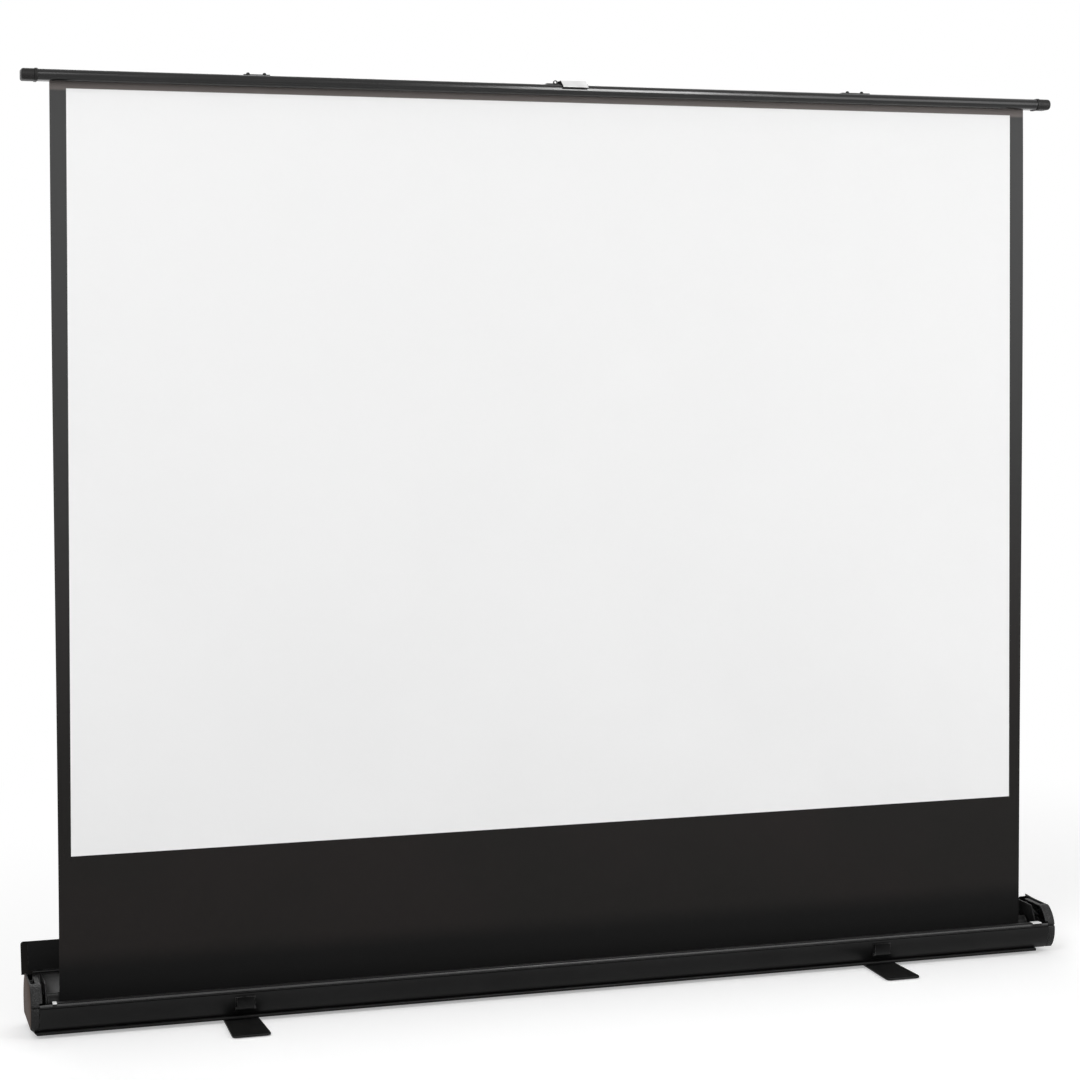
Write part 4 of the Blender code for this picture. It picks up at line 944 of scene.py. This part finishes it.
def white_room():
    """A white world, plain to the lamps and pure white to the camera and to reflections."""
    world = bpy.data.worlds.new("white_room")
    world.use_nodes = True
    tree = world.node_tree
    strength = spread(tree, looked_at(tree), 0.0, 1.0, 0.44, 1.0)
    feed(tree, tree.nodes["Background"], {"Color": (1, 1, 1, 1), "Strength": strength})
    bpy.context.scene.world = world


def studio_floor():
    """A round pale floor, lifted to white for the camera away from the screen, where no shadow falls."""
    sides = 64
    angle = np.linspace(0, 2 * pi, sides, endpoint=False)
    rim = np.stack([np.cos(angle), np.sin(angle), np.zeros(sides)], -1)
    j = np.arange(sides)
    k = (j + 1) % sides
    faces = [*np.stack([j, j + sides, k + sides, k], -1).tolist(), j.tolist()]
    mesh = bpy.data.meshes.new("studio_floor")
    mesh.from_pydata(np.concatenate([0.01 * rim, 14.0 * rim]).tolist(), [], faces)
    floor = placed("studio_floor", mesh)
    made, tree, shader, position = new_material("pale_floor")
    seen = looked_at(tree)
    distance = add(tree, "VectorMath", {0: position}, operation="LENGTH").outputs["Value"]
    away = calc(tree, "MULTIPLY", seen, spread(tree, distance, 1.5, 3.0))
    near_lift = calc(tree, "MULTIPLY", seen, 0.36)
    far_lift = calc(tree, "MULTIPLY", away, 0.64)
    feed(tree, shader, {
        "Base Color": blend_colours(tree, away, grey(0.82), grey(0.0)),
        "Roughness": 0.9,
        "Specular IOR Level": 0.0,
        "Emission Color": calc(tree, "ADD", near_lift, far_lift),
        "Emission Strength": 1.0,
    })
    mesh.materials.append(made)


# CAD solids that are kept with eased edges: node, look, edge width

SINGLE = (
    ("base_rail", "case", 0.0004),
    ("grip_seat", "black steel", 0.0003),
    ("grip", "black steel", 0.0003),
    ("grip_plate", "plate", 0.0002),
    ("roller_tube", "case", 0.0002),
    ("idle_gudgeon", "black steel", 0.0003),
    ("spring_shaft", "black steel", 0.0003),
)
PAIRED = (
    ("lid_end", "lid end", 0.0004),
    ("roller_bracket", "black steel", 0.0003),
    ("roller_plug", "moulding", 0.0003),
    ("foot_bolt", "steel", 0.0003),
    ("latch_base", "black steel", 0.0002),
    ("latch_lever", "black steel", 0.0003),
    ("arm_bracket", "black steel", 0.0004),
    ("lower_arm", "arm", 0.0005),
    ("upper_arm", "arm", 0.0005),
    ("elbow_pin", "steel", 0.0003),
    ("top_bracket", "black steel", 0.0003),
    ("foot_pad_front", "rubber", 0.0003),
    ("foot_pad_back", "rubber", 0.0003),
)


# Everything in its place


def end_pieces(side, word):
    """The pieces that come once for each end, side -1 on the left and 1 on the right."""
    foot_blade(side, word)
    bar_end(side, word)
    bar_ring(side, word)
    cap = softened("end_cap_" + word, "cap rim", 0.0004)
    tinted(cap, "cap face", lambda at, out: (abs(out[:, 0]) > 0.9) & (abs(at[:, 0]) > CASE_HALF - 0.0005))
    cap_brow(side, word)
    glide = softened("lip_glide_" + word, "nylon", 0.0003)
    tinted(glide, "moulding", lambda at, out: (at[:, 2] < GUARD_TOP - 0.0012) & (out[:, 2] < 0.5))
    for node, look, width in PAIRED:
        softened(node + "_" + word, look, width)
    coil("lift_coil_" + word, "lift_spring_" + word, along=side, radius=0.0117, wire=0.0013,
         turns=4, pitch=0.0036, axis=LIFT_SPRING_AXIS, start=side * LIFT_SPRING_X)


photo_camera()
soft_light("key_light", (-2.6, -3.2, 3.4), (0, 0, 0.9), (2.2, 2.2), 82)
soft_light("fill_light", (2.8, -3.0, 2.0), (0, 0, 0.8), (2.0, 2.6), 55)
soft_light("bar_light", (0.73, -1.65, 2.45), (0.7, 0, 1.85), (0.7, 1.4), 75, diffuse=False)
soft_light("back_light", (0.0, 3.2, 3.0), (0, 0, 0.9), (3.0, 1.6), 45)
white_room()
studio_floor()
bpy.context.scene.view_settings.view_transform = "Standard"

case_shell()
guard_strip()
lid_leaf()
lid_claw()
lid_heel()
screen_sheet()
wound_turns()
bar_tube()
for node, look, width in SINGLE:
    softened(node, look, width)
cap_finger()
coil("winding_spring", "roller_spring", along=-1, radius=0.0055, wire=0.0011,
     turns=18, pitch=0.0140, axis=ROLLER, start=1.0349)
end_pieces(-1, "left")
end_pieces(1, "right")
